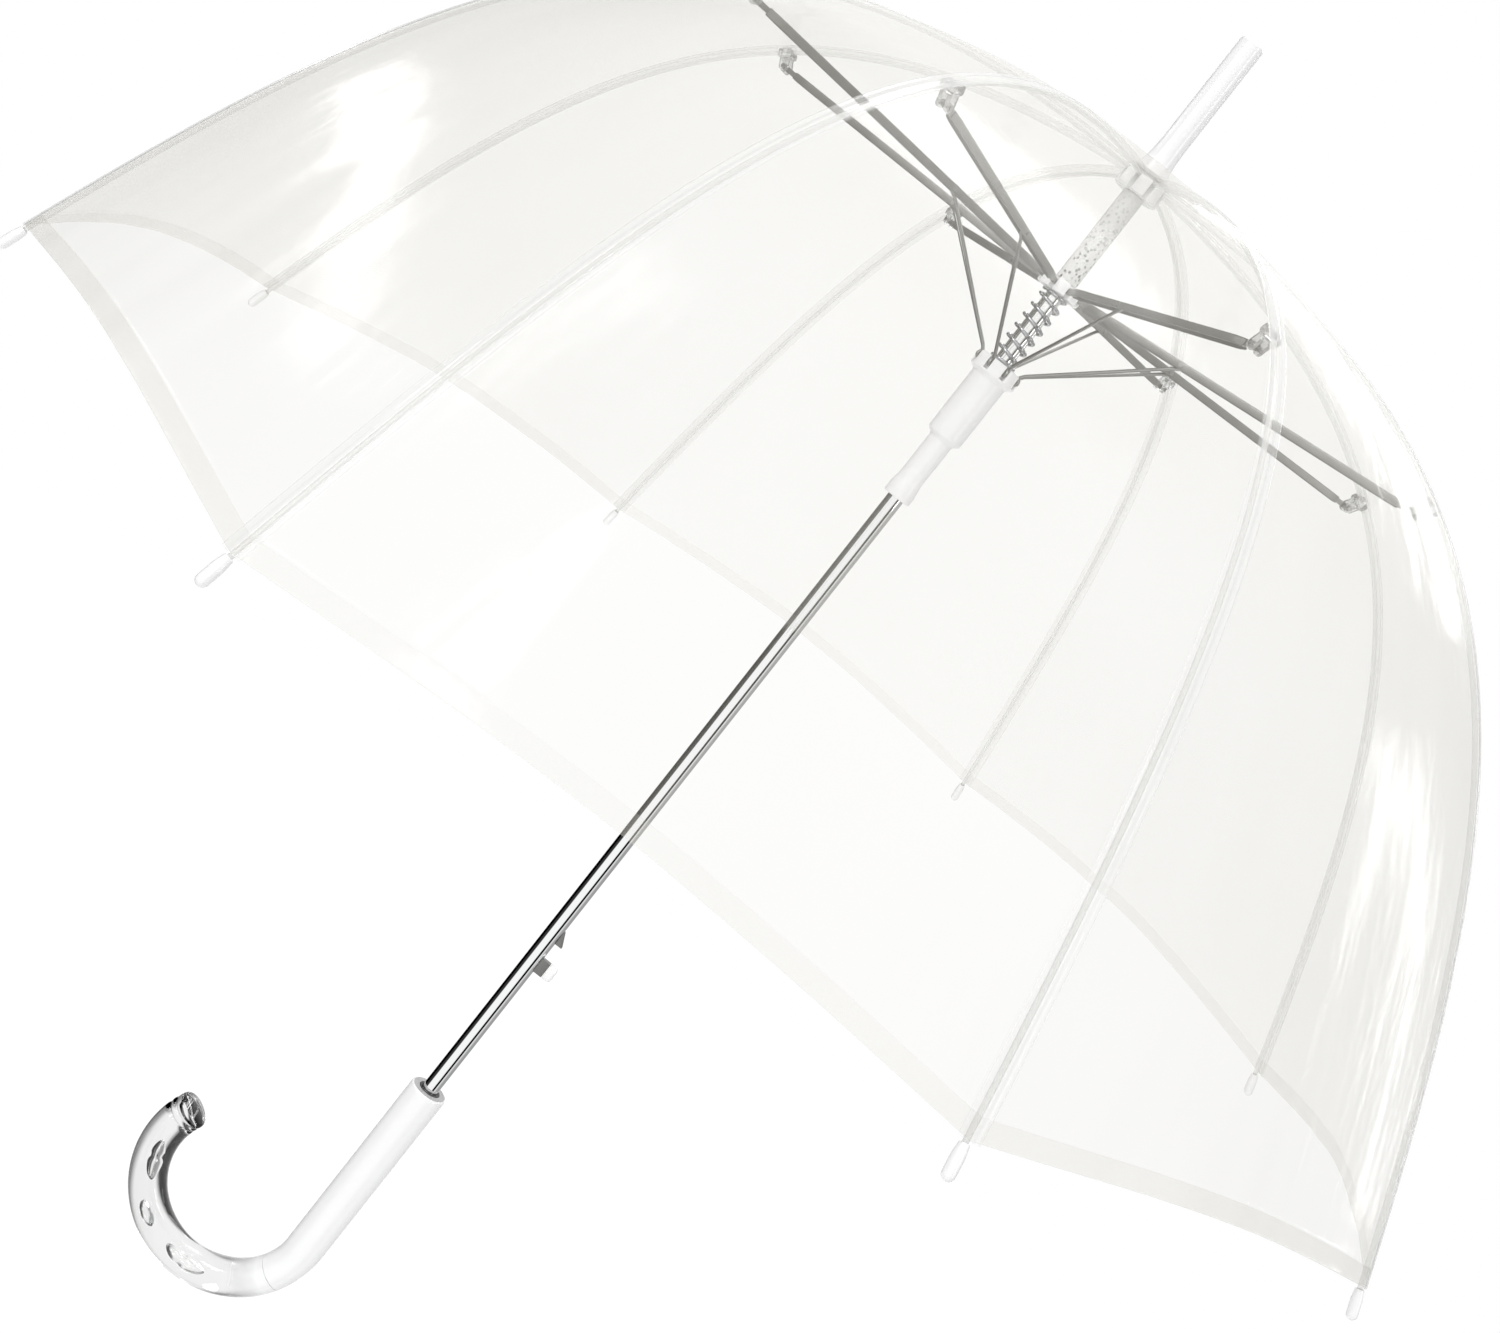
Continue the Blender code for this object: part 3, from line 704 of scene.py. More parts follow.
def round_section(radius: float, sides: int, flat: float = 1.0) -> list[tuple]:
    """A round or oval section."""
    turns = [tau * (k + 0.5) / sides for k in range(sides)]
    return [(radius * cos(a), flat * radius * sin(a)) for a in turns]


def pressed(name: str, outline: Sequence, near: float, far: float) -> bpy.types.Mesh:
    """A flat piece: an XZ outline with thickness along Y."""
    return lofted(name, [[(x, y, z) for x, z in outline] for y in (near, far)])


def slot_cutter(half: float, bottom: float, top: float, rounding: float, reach: float) -> bpy.types.Mesh:
    """A block with rounded corners that cuts a slot in the side of a tube that faces +X."""
    ends = ((-half, bottom), (half, bottom), (half, top), (-half, top))
    cutter = pressed("slot", filleted([(x, z, rounding) for x, z in ends], 3), 0.0, reach)
    cutter.transform(Matrix.Rotation(-pi / 2, 4, "Z"))
    return cutter


def cross_pin(
    name: str, centre: Vector, reach: float, head: float, thick: float, sides: int
) -> bpy.types.Mesh:
    """A pin with a flat head at each end, across the XZ plane.

    Args:
        name: the mesh's name.
        centre: the middle of the pin.
        reach: from there to the outside of each head.
        head: the heads' radius.
        thick: the heads' thickness.
        sides: how many sides the pin has.

    Returns:
        The closed mesh.
    """
    neck = 0.0007
    rise = thick + 0.0001
    corners = [(head, -reach), (head, -reach + thick), (neck, -reach + rise), (neck, reach - rise),
               (head, reach - thick), (head, reach)]
    made = turned(name, [(0, -reach), *filleted(corners), (0, reach)], sides)
    made.transform(Matrix.Rotation(pi / 2, 4, "X"))
    made.transform(Matrix.Translation(centre))
    return made


def softened(mesh: bpy.types.Mesh, width: float, segments: int = 2) -> bpy.types.Mesh:
    """Rounds a mesh's sharp edges."""
    settings = {"width": width, "segments": segments, "limit_method": "ANGLE", "angle_limit": radians(40),
                "harden_normals": False}
    return evaluated(mesh, [("BEVEL", settings)])


def evaluated(mesh: bpy.types.Mesh, steps: Sequence[tuple[str, Mapping]]) -> bpy.types.Mesh:
    """A mesh after a stack of modifiers, each given as its type and its settings."""
    holder = bpy.data.objects.new(mesh.name, mesh)
    bpy.context.scene.collection.objects.link(holder)
    for kind, settings in steps:
        step = holder.modifiers.new(kind, kind)
        for key, value in settings.items():
            setattr(step, key, value)
    graph = bpy.context.evaluated_depsgraph_get()
    made = bpy.data.meshes.new_from_object(holder.evaluated_get(graph), depsgraph=graph)
    bpy.data.objects.remove(holder, do_unlink=True)
    made.name = mesh.name
    return made


def united(base: bpy.types.Mesh, others: Sequence[bpy.types.Mesh], cut: bool = False) -> bpy.types.Mesh:
    """Joins other meshes to a base, or cuts them out of it."""
    helpers = [bpy.data.objects.new("helper", other) for other in others]
    for helper in helpers:
        bpy.context.scene.collection.objects.link(helper)
    operation = "DIFFERENCE" if cut else "UNION"
    steps = [("BOOLEAN", {"object": h, "operation": operation, "solver": "EXACT"}) for h in helpers]
    made = evaluated(base, steps)
    for helper in helpers:
        bpy.data.objects.remove(helper, do_unlink=True)
    return made


def placed(
    mesh: bpy.types.Mesh, angle: float = 0.0, offset: Vector = Vector(), tilt: float = 0.0
) -> bpy.types.Mesh:
    """Tilts a mesh in the XZ plane, moves it, and turns it round Z."""
    lean = Matrix.Rotation(-tilt, 4, "Y")
    mesh.transform(Matrix.Rotation(angle, 4, "Z") @ Matrix.Translation(offset) @ lean)
    return mesh


def rib_angle(k: int) -> float:
    """The azimuth of rib k, counted from 1."""
    return (k - 0.5) * STATION_ANGLE


def set_round(
    stem: str, mesh: bpy.types.Mesh, look: Look, body: str, nodes: Sequence[str] = (), sharp: float = 35.0
) -> None:
    """Sets copies of a piece of the XZ plane at all ribs, each on its own body.

    Args:
        stem: the pieces' name, before their number.
        mesh: the piece, drawn with the radius along X.
        look: its finish.
        body: the body's name before its number.
        nodes: names, before their numbers, of the frame's nodes that it stands for.
        sharp: the angle past which an edge stays sharp.
    """
    for k in range(1, STATIONS + 1):
        copy = placed(mesh.copy(), rib_angle(k))
        piece = new_piece(f"{stem}_{k}", copy, look, sharp)
        settle(piece, f"{body}_{k}", look, *(f"{node}_{k}" for node in nodes))


# ---- the dome and its film ----------------------------------------------------------------------


@dataclass(frozen=True)
class DomeCurve:
    """The line that the dome follows from the crown to a rib's tip."""

    hem_z: float = 0.319
    radius: float = 0.425
    height: float = 0.360
    crown_reach: float = 0.260
    hem_reach: float = 0.250
    hem_slope: float = radians(68)

    def controls(self) -> np.ndarray:
        """The curve's four control points, as (radius, height)."""
        top = self.hem_z + self.height
        near_hem = (
            self.radius - self.hem_reach * cos(self.hem_slope),
            self.hem_z + self.hem_reach * sin(self.hem_slope),
        )
        return np.array([(0, top), (self.crown_reach, top), near_hem, (self.radius, self.hem_z)])

    def tangent(self, share: np.ndarray) -> np.ndarray:
        """The curve's direction at each share."""
        a, b, c, d = self.controls()
        t = np.asarray(share, float)[..., None]
        run = (1 - t) ** 2 * (b - a) + 2 * (1 - t) * t * (c - b) + t * t * (d - c)
        return run / np.linalg.norm(run, axis=-1, keepdims=True)

    def point(self, share: np.ndarray, depth: object = 0.0) -> np.ndarray:
        """The curve's points at each share, moved in from the outer skin by depth."""
        a, b, c, d = self.controls()
        t = np.asarray(share, float)[..., None]
        on_skin = (1 - t) ** 3 * a + 3 * (1 - t) ** 2 * t * b + 3 * (1 - t) * t * t * c + t**3 * d
        run = self.tangent(share)
        outward_normal = np.stack([-run[..., 1], run[..., 0]], axis=-1)
        return on_skin - np.asarray(depth, float)[..., None] * outward_normal

    def lengths(self, samples: int = 2000) -> tuple[np.ndarray, np.ndarray]:
        """Shares of the curve and the length of the curve up to each."""
        shares = np.linspace(0, 1, samples)
        steps = np.linalg.norm(np.diff(self.point(shares), axis=0), axis=1)
        return shares, np.concatenate([[0], np.cumsum(steps)])

    def share_at_radius(self, radius: float) -> float:
        """The share at which the curve is that far from the axis."""
        shares = np.linspace(0, 1, 2000)
        return float(np.interp(radius, self.point(shares)[:, 0], shares))

    def in_plane(self, share: float, depth: float = 0.0) -> Vector:
        """One point as a vector of the XZ plane."""
        r, z = self.point(share, depth)
        return Vector((float(r), 0, float(z)))

    def direction(self, share: float) -> Vector:
        """The direction at one share, in the XZ plane."""
        r, z = self.tangent(share)
        return Vector((float(r), 0, float(z)))


@dataclass(frozen=True)
class RibJoint:
    """Where a rib's two rods meet and where the stretcher is pinned under it."""

    curve: DomeCurve
    share: float = 0.3735
    rod_depth: float = 0.0026
    pin_back: float = 0.0045
    pin_drop: float = 0.0088

    def place(self) -> Vector:
        """The joint, on the rods' centreline."""
        return self.curve.in_plane(self.share, self.rod_depth)

    def along(self) -> Vector:
        """The rib's direction at the joint."""
        return self.curve.direction(self.share)

    def out(self) -> Vector:
        """The dome's outward normal at the joint."""
        run = self.along()
        return Vector((-run.z, 0, run.x))

    def pin(self) -> Vector:
        """The stretcher's pin."""
        return self.place() - self.pin_back * self.along() - self.pin_drop * self.out()

    def seat(self, mesh: bpy.types.Mesh) -> bpy.types.Mesh:
        """Sets a mesh drawn along X, with its outer side up, at the joint."""
        run = self.along()
        return placed(mesh, offset=self.place(), tilt=atan2(run.z, run.x))


@dataclass
class Canopy:
    """The film: one curved sheet round the whole dome, parted at the ribs' joints and between the ribs."""

    curve: DomeCurve
    joint: RibJoint
    flatness: float = 0.55
    film_depth: float = 0.0003
    inner_radius: float = 0.0118
    hem_at: float = 0.9833
    scallop: float = 0.0155
    columns: int = 24
    upper_rows: int = 30
    lower_rows: int = 54
    hem_width: float = 0.0095
    hem_gap: float = 0.0007
    seam_half: float = 0.0052
    seam_lift: float = 0.0005
    seam_hug: float = 0.19
    past_hem: float = 0.0005
    sway: float = 0.0022
    draw: float = 0.0010
    kept: float = 0.05
    measured: dict = field(default_factory=dict)

    def hem_share(self, from_rib: np.ndarray) -> np.ndarray:
        """Where the film ends, by how far it is from a rib, 0, to the middle of a panel, 1."""
        return self.hem_at - self.scallop * np.sin(from_rib * pi / 2)

    def row_shares(self, from_rib: np.ndarray) -> tuple[np.ndarray, np.ndarray]:
        """The rows of the film at each column.

        Returns:
            The curve's shares and the depths under the skin, rows by columns. The last rows are the
            hem, which is folded back inside.
        """
        shares, lengths = self.curve.lengths()
        start = self.curve.share_at_radius(self.inner_radius)
        hem = self.hem_share(from_rib)
        to_joint = np.linspace(start, self.joint.share, self.upper_rows + 1)[:, None] + 0 * hem
        hem_length = np.interp(hem, shares, lengths)
        joint_length = np.interp(self.joint.share, shares, lengths)
        fold_from = hem_length - self.hem_width - 0.0012
        down = np.linspace(0, 1, self.lower_rows)[1:, None]
        to_fold = joint_length + (fold_from - joint_length) * down
        back = np.array([0.0006, 0.0012, 0.0018, 0.0048, 0.0078, 0.0100, 0.0107])[:, None]
        to_hem = fold_from + back
        inside = np.array([0.0107, 0.0100, 0.0070, 0.0040, 0.0016])[:, None]
        folded = fold_from + inside
        all_lengths = np.concatenate([to_fold, to_hem, folded])
        lower = np.interp(all_lengths, lengths, shares)
        depth = np.full(len(to_joint) + len(lower), self.film_depth)
        ridge = len(to_joint) + len(to_fold)
        depth[ridge : ridge + 2] -= (0.00025, 0.0004)
        depth[-len(inside) :] += (0.0002, *[self.hem_gap] * (len(inside) - 1))
        return np.concatenate([to_joint, lower]), depth[:, None] + 0 * hem

    def ripples(self, points: np.ndarray, from_rib: np.ndarray, length: np.ndarray) -> np.ndarray:
        """How far the film stands out at each point: slack between the ribs and draws from the tips."""
        out = np.zeros(length.shape)
        slack = np.sin(from_rib * pi / 2)
        most = length[-6:].max()
        for i in range(out.shape[0]):
            for j in range(out.shape[1]):
                x, y, z = points[i, j]
                s = length[i, j]
                round_it = Vector((x, y, 0)).normalized()
                broad = noise.noise(Vector((x, y, z)) * 8.5)
                drawn = noise.noise(Vector((round_it.x * 9, round_it.y * 9, s * 4.0)))
                fine = noise.noise(Vector((round_it.x * 22, round_it.y * 22, s * 9.0 + 3)))
                ease = min(1.0, s / 0.12)
                low = (s / most) ** 3
                out[i, j] = ease * slack[j] * (
                    self.sway * broad + self.draw * drawn * (0.5 + low) + 0.0006 * fine * low
                )
        return out

    def sheet(self) -> tuple[np.ndarray, np.ndarray, np.ndarray]:
        """The whole film.

        Returns:
            Its points, its normals and each point's distance from the axis and from the crown, rows
            by columns. The first and last columns are one line.
        """
        total = 2 * self.columns * STATIONS
        azimuth = np.arange(total + 1) * tau / total
        half = STATION_ANGLE / 2
        from_panel = np.abs((azimuth + half) % STATION_ANGLE - half)
        from_rib = 1 - from_panel / half
        shares, depth = self.row_shares(from_rib)
        flat = self.curve.point(shares, depth)
        run = self.curve.tangent(shares)
        pull = 1 - self.flatness * (1 - cos(half) / np.cos(from_panel))
        ring = flat[..., 0] * pull
        points = np.stack([ring * np.cos(azimuth), ring * np.sin(azimuth), flat[..., 1]], axis=-1)
        table_shares, table_lengths = self.curve.lengths()
        length = np.interp(shares, table_shares, table_lengths)
        normal = [-run[..., 1] * np.cos(azimuth), -run[..., 1] * np.sin(azimuth), run[..., 0]]
        normal = np.stack(normal, axis=-1)
        points = points + self.ripples(points, from_rib, length)[..., None] * normal
        ahead, behind = np.roll(points[:, :-1], -1, axis=1), np.roll(points[:, :-1], 1, axis=1)
        across = np.concatenate([ahead - behind, (ahead - behind)[:, :1]], axis=1)
        facing = np.cross(across, np.gradient(points, axis=0))
        facing *= -1 / np.maximum(np.linalg.norm(facing, axis=-1, keepdims=True), 1e-12)
        return points, facing, np.stack([ring, length], axis=-1)

    def gore(self, name: str, grid: tuple, rows: slice, columns: slice, look: Look) -> bpy.types.Object:
        """A piece of the sheet, which keeps the whole sheet's normals along its edges."""
        points, facing, lengths = (part[rows, columns] for part in grid)
        high, wide = points.shape[:2]
        mesh = from_arrays(name, points.reshape(-1, 3), grid_faces(high, wide))
        layer = mesh.uv_layers.new(name="film")
        turn = np.linspace(-0.5, 0.5, wide) * STATION_ANGLE
        flat = np.stack([turn * lengths[..., 0], lengths[..., 1]], axis=-1).reshape(-1, 2)
        corner = np.zeros(len(mesh.loops), np.int32)
        mesh.loops.foreach_get("vertex_index", corner)
        layer.data.foreach_set("uv", flat[corner].astype(np.float32).ravel())
        piece = new_piece(name, mesh, look, sharp=0)
        mesh.normals_split_custom_set_from_vertices(facing.reshape(-1, 3).tolist())
        return piece

    def area(self, piece: bpy.types.Object) -> float:
        """A piece's own area."""
        return sum(face.area for face in piece.data.polygons)

    def seam_mesh(self, shares: np.ndarray) -> bpy.types.Mesh:
        """The welded strip over a rib, in the XZ plane: flat, with a bead along each edge."""
        half, lift = self.seam_half, self.seam_lift
        bead = [(half - 0.0014, 0.6), (half - 0.0009, 1.1), (half - 0.0003, 1.0), (half, 0.1)]
        right = [(0.0009, 1.25), (0.0016, 0.6), *bead]
        shape = [(-y, high) for y, high in reversed(right)] + right
        points = []
        for share in shares:
            for y, high in shape:
                r, z = self.curve.point(share, self.film_depth - lift * high)
                points.append((r - self.seam_hug * abs(y), y, z))
        return from_arrays("seam", points, grid_faces(len(shares), len(shape)))

    def build(self) -> None:
        grid = self.sheet()
        wide = 2 * self.columns
        start = self.curve.share_at_radius(self.inner_radius)
        seam_end = self.hem_at + self.past_hem
        spans = {
            "upper": (slice(0, self.upper_rows + 1), "rib_inner", (start, self.joint.share)),
            "lower": (slice(self.upper_rows, None), "rib_outer", (self.joint.share, seam_end)),
        }
        for part, (rows, body, ends) in spans.items():
            seam = self.seam_mesh(np.linspace(*ends, 48))
            for k in range(1, STATIONS + 1):
                columns = slice((k - 1) * wide, k * wide + 1)
                film = self.gore(f"film_{part}_{k}", grid, rows, columns, Look.FILM)
                strip = new_piece(f"seam_{part}_{k}", placed(seam.copy(), rib_angle(k)), Look.SEAM, 60)
                settle(strip, f"{body}_{k}", Look.SEAM)
                nodes = [f"canopy_panel_{k}"] if part == "lower" else []
                settle(film, f"{body}_{k}", Look.FILM, *nodes)
                self.declare(film)
                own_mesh(film)

    def declare(self, film: bpy.types.Object) -> None:
        """Says what flat shape a gore was cut to."""
        uv = np.zeros(2 * len(film.data.loops), np.float32)
        film.data.uv_layers[0].data.foreach_get("uv", uv)
        low, high = uv.reshape(-1, 2).min(0), uv.reshape(-1, 2).max(0)
        width, length = (float(v) for v in high - low)
        area = min(self.area(film), 0.99 * width * length)
        self.measured[film.name] = (width, length, area)


# ---- ribs, clips and tips -----------------------------------------------------------------------


@dataclass
class Ribs:
    """The eight ribs: clear rods that follow the dome, a moulded clip at each joint and a tip at each end."""

    curve: DomeCurve
    joint: RibJoint
    rod_radius: float = 0.00125
    crown_radius: float = 0.00875
    clip_back: float = 0.0085
    clip_front: float = 0.0005
    clip_width: float = 0.0080
    clip_top: float = 0.0009
    clip_floor: float = 0.0034
    ear_radius: float = 0.0028
    ear_inner: float = 0.0014
    ear_outer: float = 0.0033
    rod_gap: float = 0.0018
    rod_end: float = 0.003
    tip_length: float = 0.0145
    tip_radius: float = 0.0027
    tip_socket: float = 0.0085

    def rod(self, name: str, start: float, end: float) -> bpy.types.Mesh:
        """A rod along the dome between two shares of its length, in the XZ plane.

        Args:
            name: the mesh's name.
            start: where the rod starts, as a share of the curve's length.
            end: where it ends.

        Returns:
            The rod's mesh.
        """
        a, b, c, d = (tuple(float(v) for v in (r, 0, z)) for r, z in self.curve.controls())
        tree = ShapeTree(
            "rod_along_dome",
            {"Crown": a, "Crown handle": b, "Hem handle": c, "Hem": d, "From": start, "To": end,
             "Depth": self.joint.rod_depth, "Radius": self.rod_radius, "Sides": 14, "Points": 220,
             "Finish": Look.ROD.value.material()},
        )
        line = tree.node("GeometryNodeCurvePrimitiveBezierSegment", {"mode": "POSITION"}, {
            "Resolution": 200, "Start": tree.given("Crown"), "Start Handle": tree.given("Crown handle"),
            "End Handle": tree.given("Hem handle"), "End": tree.given("Hem")})
        even = tree.node("GeometryNodeResampleCurve", None, {
            "Curve": line.outputs[0], "Count": tree.given("Points")})
        part = tree.node("GeometryNodeTrimCurve", {"mode": "FACTOR"}, {
            0: even.outputs[0], 2: tree.given("From"), 3: tree.given("To")})
        along = tree.node("GeometryNodeInputTangent").outputs[0]
        inward = tree.node("ShaderNodeVectorMath", {"operation": "CROSS_PRODUCT"}, {0: (0, 1, 0), 1: along})
        shift = tree.node("ShaderNodeVectorMath", {"operation": "SCALE"}, {
            0: inward.outputs[0], "Scale": tree.given("Depth")})
        moved = tree.node("GeometryNodeSetPosition", None, {
            "Geometry": part.outputs[0], "Offset": shift.outputs[0]})
        return tree.tube(name, moved.outputs[0])

    def length_share(self, share: float) -> float:
        """A share of the curve's parameter as a share of its length."""
        shares, lengths = self.curve.lengths()
        return float(np.interp(share, shares, lengths) / lengths[-1])

    def clip(self) -> bpy.types.Mesh:
        """The moulded clip: a block round the rod's end with two ears for the stretcher's pin."""
        half = self.clip_width / 2
        back, front, top, floor = -self.clip_back, -self.clip_front, self.clip_top, -self.clip_floor
        side = [(back, floor, 0.0012), (front, floor, 0.0006), (front, top, 0.0008), (back, top, 0.0014)]
        block = pressed("rib_clip", filleted(side, 3), -half, half)
        pin_x, pin_z, r = -self.joint.pin_back, -self.joint.pin_drop, self.ear_radius
        arc = [(pin_x + r * cos(a), pin_z + r * sin(a)) for a in (pi + pi * i / 12 for i in range(13))]
        outline = [(pin_x - r, -0.001), *arc, (pin_x + r, -0.001)]
        spans = [sorted((way * self.ear_inner, way * self.ear_outer)) for way in (-1, 1)]
        ears = [pressed("ear", outline, *span) for span in spans]
        return self.joint.seat(softened(united(block, ears), 0.00028))

    def pin(self) -> bpy.types.Mesh:
        """The riveted pin through the clip's ears."""
        return cross_pin("clip_pin", self.joint.pin(), self.ear_outer + 0.0005, 0.0013, 0.0005, 20)

    def tip(self) -> bpy.types.Mesh:
        """A bullet tip that widens from its mouth, along Z."""
        r, long = self.tip_radius, self.tip_length
        bore = self.rod_radius + GAP
        nose = [(r * cos(a), long - r + r * sin(a)) for a in (radians(9 * i) for i in range(1, 10))]
        socket = [(0, self.tip_socket), (bore, self.tip_socket), (bore, 0.0)]
        taper = [(r * 0.70, 0.0), (r * 0.80, 0.0003), (r * 0.84, 0.0016), (r * 0.94, 0.0034), (r, 0.0052)]
        return turned("rib_tip", [*socket, *taper, (r, long - r), *nose, (0, long)], 28)

    def build(self) -> None:
        """Makes all ribs, clips, pins and tips."""
        start = self.length_share(self.curve.share_at_radius(self.crown_radius))
        share = self.length_share(self.joint.share)
        end_share = 1 - self.rod_end / self.curve.hem_reach / 3
        total = self.curve.lengths()[1][-1]
        inner_end = share - (self.clip_back + self.clip_front) / 2 / total
        outer_start = share + self.rod_gap / total
        outer_end = self.length_share(end_share)
        upper = self.rod("rib_rod_upper", start, inner_end)
        lower = self.rod("rib_rod_lower", outer_start, outer_end)
        set_round("rib_rod_upper", upper, Look.ROD, "rib_inner", ["rib_inner"])
        set_round("rib_rod_lower", lower, Look.ROD, "rib_outer", ["rib_outer"])
        set_round("rib_clip", self.clip(), Look.CLIP, "rib_inner")
        set_round("clip_pin", self.pin(), Look.WIRE, "rib_inner")
        tip = self.tip()
        run = self.curve.direction(end_share)
        tip.transform(run.to_track_quat("Z", "Y").to_matrix().to_4x4())
        last = self.curve.in_plane(end_share, self.joint.rod_depth)
        tip.transform(Matrix.Translation(last - (self.tip_socket - GAP) * run))
        set_round("tip", tip, Look.TIP, "rib_outer", ["rib_tip"])


# ---- stretchers and struts ----------------------------------------------------------------------


@dataclass
class Linkage:
    """The pressed stretchers under the ribs and the wire struts that hold them up."""

    joint: RibJoint
    upper_pivot: Vector = field(default_factory=lambda: Vector((0.0100, 0, 0.6090)))
    lower_pivot: Vector = field(default_factory=lambda: Vector((0.0125, 0, 0.5575)))
    strut_reach: float = 0.068
    half_width: float = 0.00275
    wall: float = 0.0006
    top: float = 0.0019
    lip: float = 0.0021
    start: float = 0.0075
    end: float = 0.0085
    tongue_half: float = 0.0010
    eye_radius: float = 0.0016
    wire_radius: float = 0.0009

    def line(self) -> tuple[Vector, float]:
        """The stretcher's direction and its length between pins."""
        reach = self.joint.pin() - self.upper_pivot
        return reach.normalized(), reach.length

    def strut_pin(self) -> Vector:
        """Where the strut hangs from the stretcher."""
        return self.upper_pivot + self.line()[0] * self.strut_reach

    def section(self) -> list[tuple]:
        """The stretcher's pressed U section, open downwards, as (sideways, up)."""
        out, wall, lip, top = self.half_width, self.wall, -self.lip, self.top
        corners = [(-out, lip, 0.0002), (-out, top, 0.0009), (out, top, 0.0009), (out, lip, 0.0002),
                   (out - wall, lip, 0.0002), (out - wall, top - wall, 0.0004),
                   (wall - out, top - wall, 0.0004), (wall - out, lip, 0.0002)]
        return [tuple(p) for p in filleted(corners, 4)]

    def tongue(self, pin: float, root: float) -> bpy.types.Mesh:
        """A flattened end, round its pin, that runs into the channel."""
        toward = 1 if root > pin else -1
        turns = [pi * i / 10 for i in range(11)]
        nose = [(pin - toward * self.eye_radius * sin(a), self.eye_radius * cos(a)) for a in turns]
        roof = self.top - self.wall
        outline = [(root, roof), (pin + toward * 0.0045, roof), *nose, (root, -0.0012)]
        return pressed("tongue", outline, -self.tongue_half, self.tongue_half)

    def stretcher(self) -> bpy.types.Mesh:
        """The stretcher, laid from the upper runner to the clip."""
        run, length = self.line()
        front, back = self.start, length - self.end
        shares = [0.0, 0.35, 0.75, 1.0]
        flare = 0.010
        stations = [front + flare * s for s in shares] + [back - flare * (1 - s) for s in shares]
        pinch = [0.52, 0.70, 0.95, 1.0, 1.0, 0.95, 0.70, 0.52]
        rings = [[(x, y * narrow, z) for y, z in self.section()] for x, narrow in zip(stations, pinch)]
        channel = lofted("stretcher", rings)
        overlap = 0.006
        made = united(channel, [self.tongue(0, front + overlap), self.tongue(length, back - overlap)])
        made = softened(made, 0.00012, 1)
        return placed(made, offset=self.upper_pivot, tilt=atan2(run.z, run.x))

    def rivet(self) -> bpy.types.Mesh:
        """The rivet that carries the strut, across the channel."""
        return cross_pin("strut_rivet", self.strut_pin(), self.half_width + 0.0005, 0.0012, 0.0006, 18)

    def strut(self) -> bpy.types.Mesh:
        """A drawn wire with an eye bent at each end."""
        top, low = self.strut_pin(), self.lower_pivot
        run = (low - top).normalized()
        across = SIDEWAYS.cross(run)
        eye, turns = self.eye_radius, 14
        straight, offset = run * 0.0045, across * 0.0009

        def bent(centre: Vector, toward: Vector, side: float) -> list[Vector]:
            """The eye's points, from its tail round to where it meets the straight wire."""
            return [centre + eye * (toward * cos(a) + side * across * sin(a))
                    for a in (radians(-35) + radians(325) * i / turns for i in range(turns + 1))]

        first = bent(top, run, 1.0)
        last = bent(low, -run, -1.0)[::-1]
        start, end = first[-1] + straight + offset, last[0] - straight + offset
        middle = [start.lerp(end, i / 10) for i in range(11)]
        return swept("strut", [*first, *middle, *last], round_section(self.wire_radius, 12))

    def build(self) -> None:
        """Makes all stretchers, rivets and struts."""
        set_round("stretcher_bar", self.stretcher(), Look.STEEL, "stretcher", ["stretcher"])
        set_round("strut_rivet", self.rivet(), Look.WIRE, "stretcher")
        set_round("strut_wire", self.strut(), Look.WIRE, "strut", ["strut"], sharp=60)


# ---- shaft, crown, ferrule, sleeve, runners and spring ------------------------------------------


